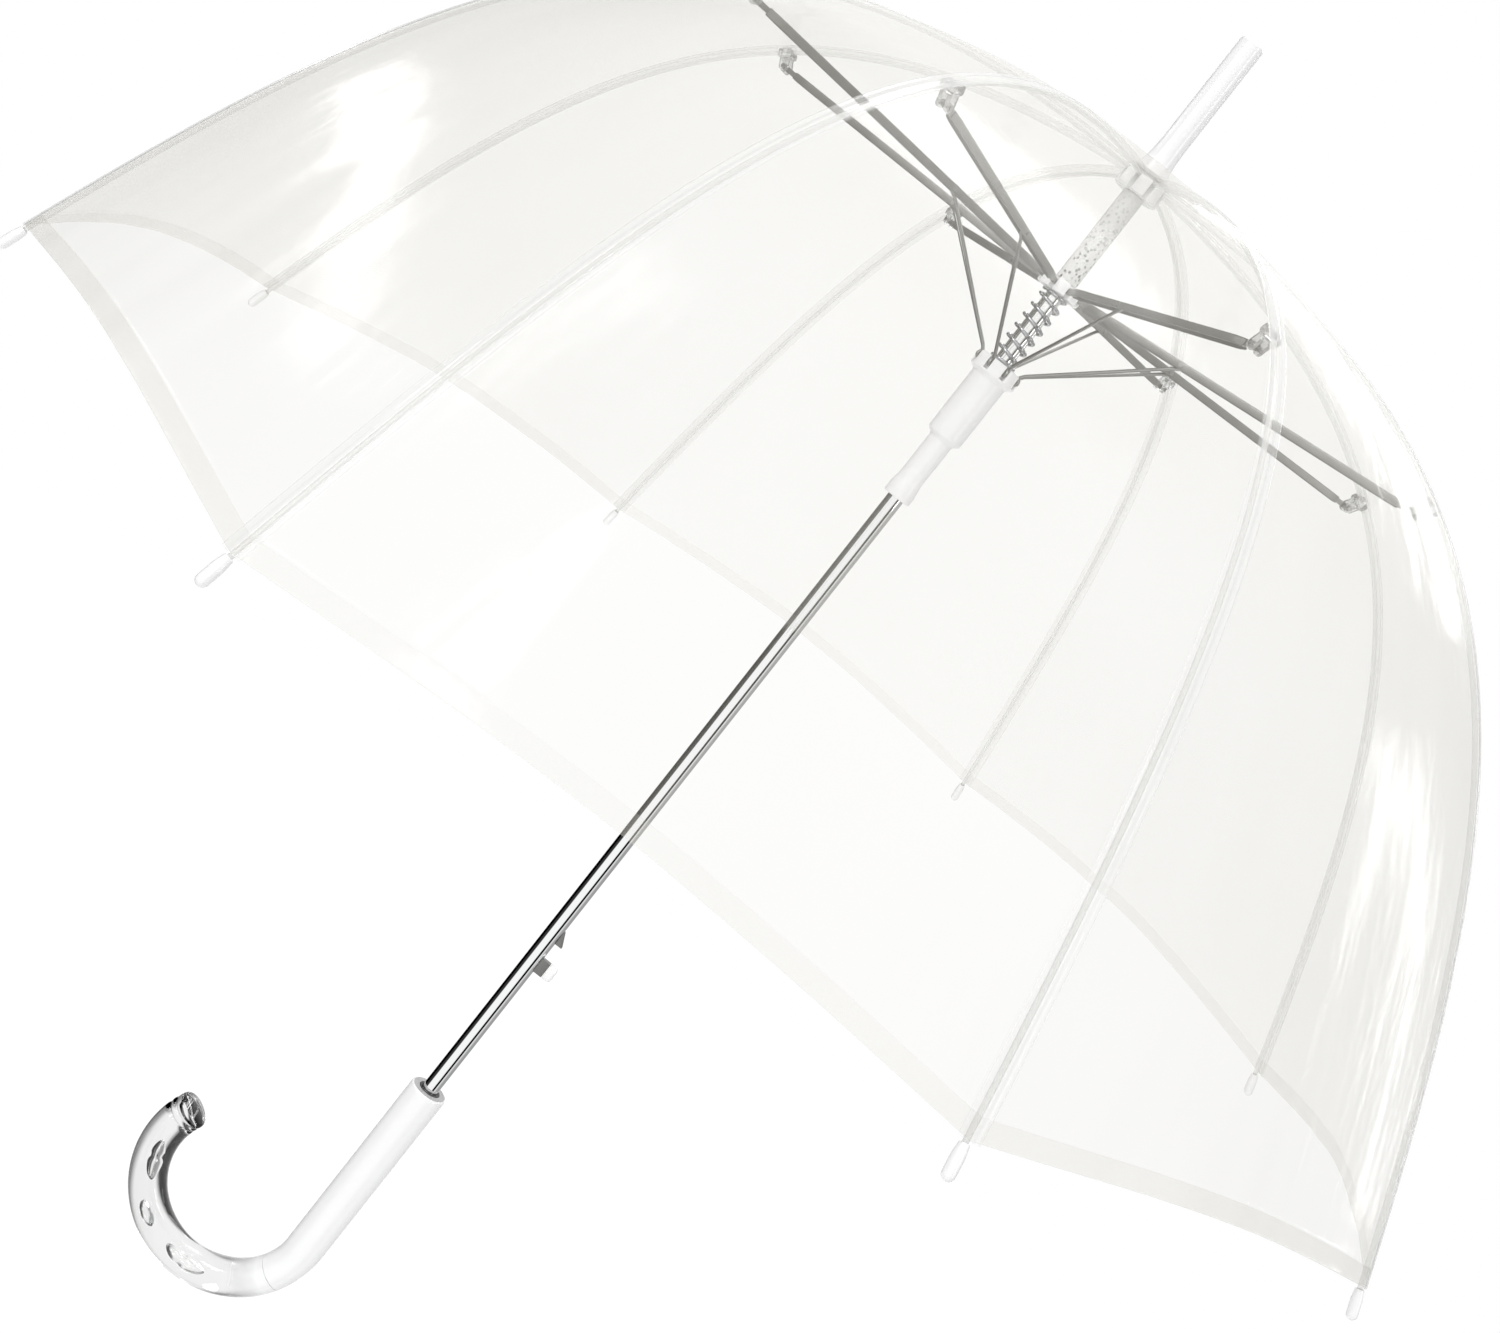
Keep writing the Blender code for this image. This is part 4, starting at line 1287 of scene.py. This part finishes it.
@dataclass
class ShaftGroup:
    """The tube and what is fixed on it or slides on it."""

    tube_radius: float = 0.0048
    bore: float = 0.0041
    sides: int = 72
    crown_radius: float = 0.0128
    crown_neck: float = 0.0086
    ferrule_radius: float = 0.0069
    ferrule_base: float = 0.0098
    sleeve_radius: float = 0.0062
    slot_width: float = 0.0028
    slot_root: float = 0.0066
    upper_radius: float = 0.0128
    upper_pivot_z: float = 0.6090
    upper_pivot_radius: float = 0.0100
    lower_pivot_z: float = 0.5575
    lower_pivot_radius: float = 0.0125
    flange_radius: float = 0.0136
    flange_height: float = 0.0080
    barrel_radius: float = 0.0102
    barrel_bottom: float = 0.5140
    window_half: float = 0.0018
    window_ends: tuple = (0.4785, 0.4970)
    neck_radius: float = 0.0070
    flare_radius: float = 0.0080
    spring_radius: float = 0.0069
    spring_wire: float = 0.00095
    spring_turns: float = 7.5

    def slots(self, root: float, reach: float, low: float, high: float) -> list[bpy.types.Mesh]:
        """Eight narrow blocks, one under each rib, that cut slots."""
        half = self.slot_width / 2
        outline = [(root, low), (reach, low), (reach, high), (root, high)]
        return [placed(pressed("slot", outline, -half, half), rib_angle(k)) for k in range(1, STATIONS + 1)]

    def tube(self) -> bpy.types.Mesh:
        """The plated tube, with the slots of the catch and the button."""
        low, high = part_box("shaft")
        inner = self.bore
        outer = self.tube_radius
        outline = [(inner, low.z), (outer, low.z), (outer, high.z), (inner, high.z)]
        catch_low, catch_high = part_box("latch_catch")
        stem_low, stem_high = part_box("button_stem")
        cutters = [
            slot_cutter(half + GAP, bottom - GAP, top + GAP, 0.0006, 0.008)
            for bottom, top, half in (
                (catch_low.z, catch_high.z + 0.0007, catch_high.y), (stem_low.z, stem_high.z, stem_high.y),
            )
        ]
        return united(turned("shaft_tube", outline, self.sides, hollow=True), cutters, cut=True)

    def crown(self) -> bpy.types.Mesh:
        """The notched crown that holds the ribs' inner ends."""
        low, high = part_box("crown")
        bore = self.tube_radius + GAP
        step = high.z - 0.0018
        outer, neck = self.crown_radius, self.crown_neck
        corners = [(bore, low.z), (outer, low.z, 0.0009), (outer, step, 0.0009), (neck, step, 0.0004),
                   (neck, high.z), (bore, high.z)]
        ring = turned("crown_ring", filleted(corners), self.sides, hollow=True)
        notches = self.slots(self.slot_root, outer + 0.002, low.z - 0.001, step + 0.0002)
        return united(ring, notches, cut=True)

    def ferrule(self) -> bpy.types.Mesh:
        """The white ferrule, flared over the film and softly rounded at its end."""
        low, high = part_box("ferrule")
        base, body = self.ferrule_base, self.ferrule_radius
        bore = self.tube_radius + GAP
        shaft_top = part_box("shaft")[1].z + 0.001
        corners = [(0, shaft_top), (bore, shaft_top), (bore, low.z), (base, low.z, 0.0004),
                   (base, low.z + 0.0015, 0.0007), (base - 0.0014, low.z + 0.0052, 0.003),
                   (body + 0.0005, low.z + 0.0105, 0.004), (body, low.z + 0.020, 0.006),
                   (body, high.z, 0.0022), (0, high.z)]
        return turned("ferrule_cap", filleted(corners, 5, closed=False), self.sides)

    def washer(self) -> bpy.types.Mesh:
        """The clear washer that clamps the film under the ferrule."""
        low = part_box("ferrule")[0].z
        bore, outer, top = 0.0100, 0.0128, low + 0.0013
        corners = [(bore, low), (outer, low, 0.0004), (outer, top, 0.0006), (bore, top)]
        return turned("film_washer", filleted(corners), self.sides, hollow=True)

    def sleeve(self) -> bpy.types.Mesh:
        """The cloudy spacer between the crown and the upper runner."""
        low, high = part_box("spacer_sleeve")
        bore, outer = self.tube_radius + GAP, self.sleeve_radius
        ends = ((bore, low.z), (outer, low.z), (outer, high.z), (bore, high.z))
        corners = [(r, z, 0.0003) for r, z in ends]
        return turned("sleeve", filleted(corners, 3), self.sides, hollow=True)

    def upper_runner(self) -> bpy.types.Mesh:
        """The notched disc that carries the stretchers."""
        low, high = (corner.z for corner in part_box("upper_runner"))
        bore, outer = self.tube_radius + GAP, self.upper_radius
        corners = [(bore, low, 0.0003), (outer, low, 0.0010), (outer, high, 0.0010), (bore, high, 0.0003)]
        disc = turned("upper_disc", filleted(corners), self.sides, hollow=True)
        return united(disc, self.slots(self.slot_root, outer + 0.002, low - 0.001, high + 0.001), cut=True)

    def lower_runner(self) -> bpy.types.Mesh:
        """The white slider: notched flange, barrel, neck and flared end."""
        low, high = (corner.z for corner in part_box("lower_runner"))
        bore = self.tube_radius + GAP
        flange_low, barrel_low = high - self.flange_height, self.barrel_bottom
        flange, barrel = self.flange_radius, self.barrel_radius
        neck, flare = self.neck_radius, self.flare_radius
        corners = [(bore, low, 0.0003), (flare, low, 0.0009), (flare, low + 0.0065, 0.002),
                   (neck, low + 0.0125, 0.003), (neck, barrel_low - 0.0034, 0.001),
                   (barrel - 0.0002, barrel_low - 0.0008, 0.001), (barrel, barrel_low + 0.001, 0.001),
                   (barrel, flange_low - 0.0022, 0.001), (flange, flange_low, 0.0008),
                   (flange, high, 0.0010), (bore, high, 0.0003)]
        body = turned("lower_slider", filleted(corners), self.sides, hollow=True)
        root = self.lower_pivot_radius - 0.0025
        notches = self.slots(root, flange + 0.002, flange_low + 0.0008, high + 0.001)
        window = slot_cutter(self.window_half, *self.window_ends, 0.0012, 0.010)
        return united(body, [*notches, window], cut=True)

    def wire_ring(self, name: str, radius: float, height: float) -> bpy.types.Mesh:
        """The thin wire that strings the linkage's ends round a runner or the crown."""
        steps = 64
        turns = [tau * i / steps for i in range(steps)]
        path = [Vector((radius * cos(a), radius * sin(a), height)) for a in turns]
        return swept(name, path, round_section(0.0004, 8), UP, looped=True)

    def spring(self) -> bpy.types.Mesh:
        """The main spring: a coil whose end turns lie nearly flat."""
        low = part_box("lower_runner")[1].z + GAP + self.spring_wire
        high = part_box("upper_runner")[0].z - GAP - self.spring_wire
        tree = ShapeTree("compression_coil", {
            "Coil radius": self.spring_radius, "Turns": self.spring_turns, "Low": low, "High": high,
            "Radius": self.spring_wire, "Dead turn": 0.075, "Sides": 12,
            "Finish": Look.SPRING.value.material()})
        line = tree.node("GeometryNodeCurveSpiral", None, {
            "Resolution": 40, "Rotations": tree.given("Turns"), "Start Radius": tree.given("Coil radius"),
            "End Radius": tree.given("Coil radius"), "Height": 1.0})
        place = tree.node("GeometryNodeInputPosition").outputs[0]
        apart = tree.node("ShaderNodeSeparateXYZ", None, {0: place})
        dead = tree.given("Dead turn")
        climb = ((tree.number(apart, "Z") - dead) / (1.0 - dead * 2.0)).clamped()
        low_end, high_end = tree.given("Low"), tree.given("High")
        dead_rise = tree.given("Radius") * 1.6
        height = low_end + dead_rise * tree.number(apart, "Z") + climb * (high_end - low_end - dead_rise)
        target = tree.vector(tree.number(apart, "X"), tree.number(apart, "Y"), height)
        laid = tree.node("GeometryNodeSetPosition", None, {"Geometry": line.outputs[0], "Position": target})
        return tree.tube("spring_coil", laid.outputs[0])

    def build(self) -> None:
        """Makes every piece on the shaft."""
        bevel = 0.00025
        upper, lower = "upper_runner", "lower_runner"
        for name, mesh, look, body, nodes in (
            ("shaft_tube", self.tube(), Look.CHROME, "root", ["shaft"]),
            ("crown_ring", softened(self.crown(), bevel), Look.WHITE, "root", ["crown"]),
            ("ferrule_cap", self.ferrule(), Look.WHITE, "root", ["ferrule"]),
            ("film_washer", self.washer(), Look.CLIP, "root", []),
            ("sleeve", self.sleeve(), Look.SLEEVE, "root", ["spacer_sleeve"]),
            ("upper_disc", softened(self.upper_runner(), bevel), Look.WHITE, upper, [upper]),
            ("lower_slider", softened(self.lower_runner(), bevel), Look.WHITE, lower, [lower]),
        ):
            settle(new_piece(name, mesh, look), body, look, *nodes)
        for name, radius, height, body in (
            ("crown_wire", self.upper_pivot_radius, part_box("crown")[0].z + 0.0078, "root"),
            ("upper_wire", self.upper_pivot_radius, self.upper_pivot_z, upper),
            ("lower_wire", self.lower_pivot_radius, self.lower_pivot_z, lower),
        ):
            settle(new_piece(name, self.wire_ring(name, radius, height), Look.WIRE), body, Look.WIRE)
        coil = new_piece("spring_coil", self.spring(), Look.SPRING, 60)
        settle(coil, upper, Look.SPRING, "main_spring")
        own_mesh(coil)


# ---- catch, button and handle -------------------------------------------------------------------


@dataclass
class Release:
    """The spring catch that holds the closed frame and the button that lets it go."""

    cap_radius: float = 0.0050
    fin_top: float = 0.0050

    def catch(self) -> bpy.types.Mesh:
        """The sloped fin with its flat ledge, from the frame's own corners."""
        low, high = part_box("latch_catch")
        corners = [(low.x, low.z), (high.x, low.z, 0.0004), (high.x, low.z + 0.0007, 0.0006),
                   (self.fin_top, high.z, 0.0012), (low.x, high.z)]
        return softened(pressed("catch_fin", filleted(corners, 3), low.y, high.y), 0.0002)

    def stem(self) -> bpy.types.Mesh:
        """The steel stem under the cap."""
        low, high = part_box("button_stem")
        corners = [(low.x, low.z), (high.x, low.z, 0.0003), (high.x, high.z, 0.0003), (low.x, high.z)]
        return softened(pressed("button_neck", filleted(corners, 2), low.y, high.y), 0.0003)

    def cap(self) -> bpy.types.Mesh:
        """The round cap, softly domed on its face with a shallow ring round it."""
        low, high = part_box("release_button")
        middle = (low.z + high.z) / 2
        long, r = high.x - low.x, self.cap_radius
        corners = [(0, 0), (r - 0.0004, 0, 0.0003), (r, 0.0008, 0.0004), (r, long - 0.0012, 0.0010),
                   (r - 0.0012, long - 0.0002, 0.0008), (r - 0.0019, long - 0.0005, 0.0003),
                   (r - 0.0026, long, 0.0006), (0, long)]
        made = turned("button_cap", filleted(corners, 4, closed=False), 48)
        made.transform(Matrix.Translation((low.x, 0, middle)) @ Matrix.Rotation(pi / 2, 4, "Y"))
        return made

    def build(self) -> None:
        """Makes the catch, the stem and the cap."""
        settle(new_piece("catch_fin", self.catch(), Look.STEEL), "latch_catch", Look.STEEL, "latch_catch")
        settle(new_piece("button_neck", self.stem(), Look.STEEL), "release_button", Look.STEEL, "button_stem")
        settle(new_piece("button_cap", self.cap(), Look.TIP), "release_button", Look.TIP, "release_button")


@dataclass(frozen=True)
class Bubble:
    """A long air bubble inside the crook."""

    turn: float
    half_turn: float
    radius: float
    flat: float
    off_out: float
    off_side: float
    waist: float


@dataclass
class Handle:
    """The white grip and the clear crook with its grooved end knob and three long bubbles."""

    grip_radius: float = 0.0112
    tube_radius: float = 0.0108
    hook_radius: float = 0.0510
    hook_z: float = -0.0590
    grip_turn: float = 28.0
    hook_turn: float = 207.0
    socket_bottom: float = -0.0415
    sides: int = 56
    bubbles: tuple = (
        Bubble(88, 15, 0.0042, 0.62, 0.0018, 0.0015, 0.30),
        Bubble(127, 9, 0.0036, 0.70, 0.0014, -0.0020, 0.10),
        Bubble(163, 15, 0.0040, 0.60, -0.0010, 0.0010, 0.55),
    )
    # the end knob, as (degrees before the end, share of the crook's radius): two grooves and a round end
    knob: tuple = (
        (13.0, 1.0), (11.6, 0.99), (10.8, 0.93), (10.2, 0.90), (9.6, 0.93), (8.9, 0.99), (7.8, 1.0),
        (6.9, 0.99), (6.3, 0.94), (5.8, 0.92), (5.3, 0.94), (4.7, 0.99), (3.6, 1.0), (2.2, 0.995),
        (1.2, 0.97), (0.5, 0.92), (0, 0.85),
    )

    def centreline(self, turn: float, out: float = 0.0, side: float = 0.0) -> Vector:
        """A point of the crook, by how many degrees round it is from the foot of the grip."""
        a = radians(turn)
        reach = self.hook_radius + out
        return Vector((-self.hook_radius + reach * cos(a), side, self.hook_z - reach * sin(a)))

    def grip(self) -> bpy.types.Mesh:
        """The straight grip and the first stretch of the bend, bored for the tube."""
        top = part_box("handle_grip")[1].z
        edge = [(0, 0.91), (0.0002, 0.95), (0.0006, 0.98), (0.0012, 0.995), (0.002, 1.0)]
        straight = [top + (self.hook_z + 0.004 - top) * i / 12 for i in range(2, 13)]
        path = [Vector((0, 0, z)) for z in [top - down for down, _ in edge] + straight]
        scales = [share for _, share in edge] + [1.0] * len(straight)
        steps = 9
        blend = self.tube_radius / self.grip_radius
        for i in range(1, steps + 1):
            path.append(self.centreline(self.grip_turn * i / steps))
            scales.append(1.0 + (blend - 1.0) * min(1.0, i / 4))
        tail = self.centreline(self.grip_turn * (1 + 1 / steps))
        body = swept("grip_body", path, round_section(self.grip_radius, self.sides), scales=scales, tail=tail)
        return united(body, [self.bore_cutter(top)], cut=True)

    def bore_cutter(self, top: float) -> bpy.types.Mesh:
        """The bore for the tube."""
        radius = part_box("shaft")[1].x + GAP
        low, high = self.socket_bottom, top + 0.001
        return turned("bore", [(0, low), (radius, low), (radius, high), (0, high)], self.sides)

    def collar(self) -> bpy.types.Mesh:
        """The dark ring where the tube goes into the grip."""
        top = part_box("handle_grip")[1].z
        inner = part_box("shaft")[1].x + 0.0001
        corners = [(inner, top), (inner + 0.0018, top, 0.0002), (inner + 0.0016, top + 0.0006, 0.0003),
                   (inner, top + 0.0006, 0.0002)]
        return turned("grip_collar", filleted(corners, 3), 48, hollow=True)

    def face(self) -> bpy.types.Mesh:
        """The grip's flat cut face round the collar: a thin grey ring of painted shade, darker than its side,
        for the top turned away from the light.
        """
        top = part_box("handle_grip")[1].z
        inner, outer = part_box("shaft")[1].x + 0.0018, self.grip_radius * 0.90
        corners = [(inner, top), (outer, top), (outer, top + 0.0002), (inner, top + 0.0002)]
        return turned("grip_top_painted_shade", corners, self.sides, hollow=True)

    def crook(self) -> bpy.types.Mesh:
        """The solid clear crook with its bubbles, whose walls face into them."""
        start = self.grip_turn + degrees(GAP / self.hook_radius)
        steps = 70
        last = self.hook_turn - self.knob[0][0]
        turns = [start + (last - start) * i / steps for i in range(steps)]
        scales = [1.0] * steps
        for back, share in self.knob:
            turns.append(self.hook_turn - back)
            scales.append(share)
        path = [self.centreline(t) for t in turns]
        lead, tail = self.centreline(start - 2.0), self.centreline(self.hook_turn + 0.5)
        section = round_section(self.tube_radius, self.sides)
        body = swept("crook", path, section, scales=scales, lead=lead, tail=tail)
        joined = bmesh.new()
        joined.from_mesh(body)
        for bubble in self.bubbles:
            hole = self.bubble_mesh(bubble)
            hole.flip_normals()
            joined.from_mesh(hole)
        joined.to_mesh(body)
        joined.free()
        return body

    def bubble_mesh(self, bubble: Bubble) -> bpy.types.Mesh:
        """One long bubble: a flattened spindle, pinched where it has a waist."""
        steps = 26
        turns, scales = [], []
        for i in range(steps + 1):
            along = -cos(pi * i / steps)
            body = max(0.0, 1 - along * along) ** 0.62
            pinch = 1 - bubble.waist * 0.6 * np.exp(-((along - 0.15) ** 2) / 0.02)
            turns.append(bubble.turn + bubble.half_turn * along)
            scales.append(max(0.02, float(body * pinch)))
        path = [self.centreline(t, bubble.off_out, bubble.off_side) for t in turns]
        return swept("bubble", path, round_section(bubble.radius, 24, bubble.flat), scales=scales)

    def build(self) -> None:
        """Makes the grip, its dark collar and the crook."""
        settle(new_piece("grip_body", self.grip(), Look.HANDLE), "root", Look.WHITE, "handle_grip")
        settle(new_piece("grip_collar", self.collar(), Look.DARK), "root", Look.DARK)
        # the grey ring on the grip's top is painted shade
        settle(new_piece("grip_top_painted_shade", self.face(), Look.FACE), "root", Look.FACE)
        settle(new_piece("crook", self.crook(), Look.HANDLE, 50), "root", Look.HANDLE, "handle_hook")


# ---- camera, light and floor --------------------------------------------------------------------


@dataclass
class Studio:
    """A pale floor, soft lights and the camera."""

    eye: Vector = field(default_factory=lambda: Vector((0.0175, -1.0429, 0.5048)))
    right: Vector = field(default_factory=lambda: Vector((0.784, 0.105, 0.612)))
    down: Vector = field(default_factory=lambda: Vector((0.620, -0.098, -0.778)))
    lens: float = 47.57
    floor_drop: float = 0.012
    floor_reach: float = 1.3
    # the room's grey by its turn round the umbrella, as shares of a full turn from -X
    bands: tuple = (
        (0.00, 0.03), (0.095, 0.04), (0.12, 1.00), (0.325, 1.00), (0.345, 0.0), (0.405, 0.0), (0.425, 0.95),
        (0.46, 0.60), (0.50, 0.38), (0.64, 0.33), (0.69, 0.90), (0.81, 0.90), (0.84, 0.0), (0.95, 0.0),
    )
    # and how it turns white overhead, by the sine of the height angle
    ceiling: tuple = ((0.0, 0.0), (0.55, 0.0), (0.85, 1.0))
    lamps: tuple = (
        ("key", (-1.5, -1.6, 1.9), (0.45, 1.5), 16),
        ("side", (1.8, -0.9, 1.1), (0.16, 1.5), 6),
        ("back", (0.8, 2.0, 1.7), (1.5, 0.25), 8),
        ("overhead", (-0.3, 0.2, 2.3), (0.6, 1.2), 11),
        ("left window", (-1.80, 0.35, 1.00), (1.1, 0.16), 3.2),
        ("front window", (-0.60, -1.85, 1.32), (0.14, 0.60), 2.4),
        ("right window", (1.72, 0.80, 0.95), (0.10, 0.95), 2.0),
    )
    aim: tuple = (0, 0, 0.45)

    def camera(self) -> None:
        """The camera, rolled as the umbrella is seen."""
        data = bpy.data.cameras.new("camera")
        data.lens = self.lens
        data.sensor_width = 36.0
        made = bpy.data.objects.new("camera", data)
        bpy.context.scene.collection.objects.link(made)
        x = self.right.normalized()
        y = (-self.down + x * self.down.dot(x)).normalized()
        z = x.cross(y)
        made.matrix_world = Matrix.Translation(self.eye) @ Matrix((x, y, z)).transposed().to_4x4()
        bpy.context.scene.camera = made

    def floor(self) -> None:
        """A round pale floor under the crook."""
        low = cad_box[0].z - self.floor_drop
        sides, reach = 96, self.floor_reach
        turns = [tau * i / sides for i in range(sides)]
        rim = [(reach * cos(a), reach * sin(a), low) for a in turns]
        mesh = from_arrays("floor", rim, [range(sides)])
        tree = ShaderTree("pale_floor")
        grain = tree.noise(30.0, 2.0)
        tree.dress(
            Base_Color=tree.tinted(grain, (0.14, 0.14, 0.14), (0.15, 0.15, 0.15)),
            Roughness=0.9,
            Specular_IOR_Level=0.0,
            Emission_Color=(1.0, 1.0, 1.0),
            Emission_Strength=0.91,
        )
        mesh.materials.append(tree.material)
        made = bpy.data.objects.new("floor", mesh)
        bpy.context.scene.collection.objects.link(made)
        made.visible_glossy = False
        made.visible_transmission = False

    def lamp(self, name: str, place: tuple, size: tuple, power: float) -> None:
        """A soft rectangular light aimed at the dome."""
        data = bpy.data.lights.new(name, "AREA")
        data.shape = "RECTANGLE"
        data.size, data.size_y = size
        data.energy = power
        made = bpy.data.objects.new(name, data)
        made.visible_camera = False
        bpy.context.scene.collection.objects.link(made)
        made.location = place
        made.rotation_mode = "QUATERNION"
        made.rotation_quaternion = (Vector(self.aim) - Vector(place)).to_track_quat("-Z", "Y")

    def surroundings(self) -> None:
        """A white room for the eye, with grey and dark stretches round it for gloss and glass."""
        world = bpy.data.worlds.new("room")
        bpy.context.scene.world = world
        world.use_nodes = True
        tree = NodeTree(world.node_tree)
        way = tree.node("ShaderNodeTexCoord").outputs["Generated"]
        apart = tree.node("ShaderNodeSeparateXYZ", None, {0: way})
        x, y, z = (tree.number(apart, axis) for axis in "XYZ")
        turn = x.maths("ARCTAN2", y, x) / tau + 0.5
        sides = tree.number(tree.node("ShaderNodeValToRGB", {"stops": self.bands}, {0: turn}))
        above = tree.number(tree.node("ShaderNodeValToRGB", {"stops": self.ceiling}, {0: z}))
        grey = sides * (1.0 - above) + above
        seen = tree.number(tree.node("ShaderNodeLightPath"), "Is Camera Ray")
        strength = seen + (1.0 - seen) * grey
        light = tree.node("ShaderNodeBackground", None, {"Color": (1.0, 1.0, 1.0), "Strength": strength})
        tree.node("ShaderNodeOutputWorld", None, {"Surface": light.outputs[0]})

    def build(self) -> None:
        """Sets the studio up."""
        self.camera()
        self.floor()
        self.surroundings()
        for lamp in self.lamps:
            self.lamp(*lamp)
        bpy.context.scene.view_settings.view_transform = "Standard"


def main() -> None:
    """Builds the studio and every sub-assembly."""
    logging.basicConfig(level=logging.INFO, format="%(name)s: %(message)s")
    Studio().build()
    curve = DomeCurve()
    joint = RibJoint(curve)
    canopy = Canopy(curve, joint)
    for assembly in (canopy, Ribs(curve, joint), Linkage(joint), ShaftGroup(), Release(), Handle()):
        log.info("building %s", type(assembly).__name__)
        assembly.build()
    for name, (width, length, area) in canopy.measured.items():
        log.info("%s: %.3f by %.3f m, %.4f square metres", name, width, length, area)


if __name__ == "__main__":
    main()
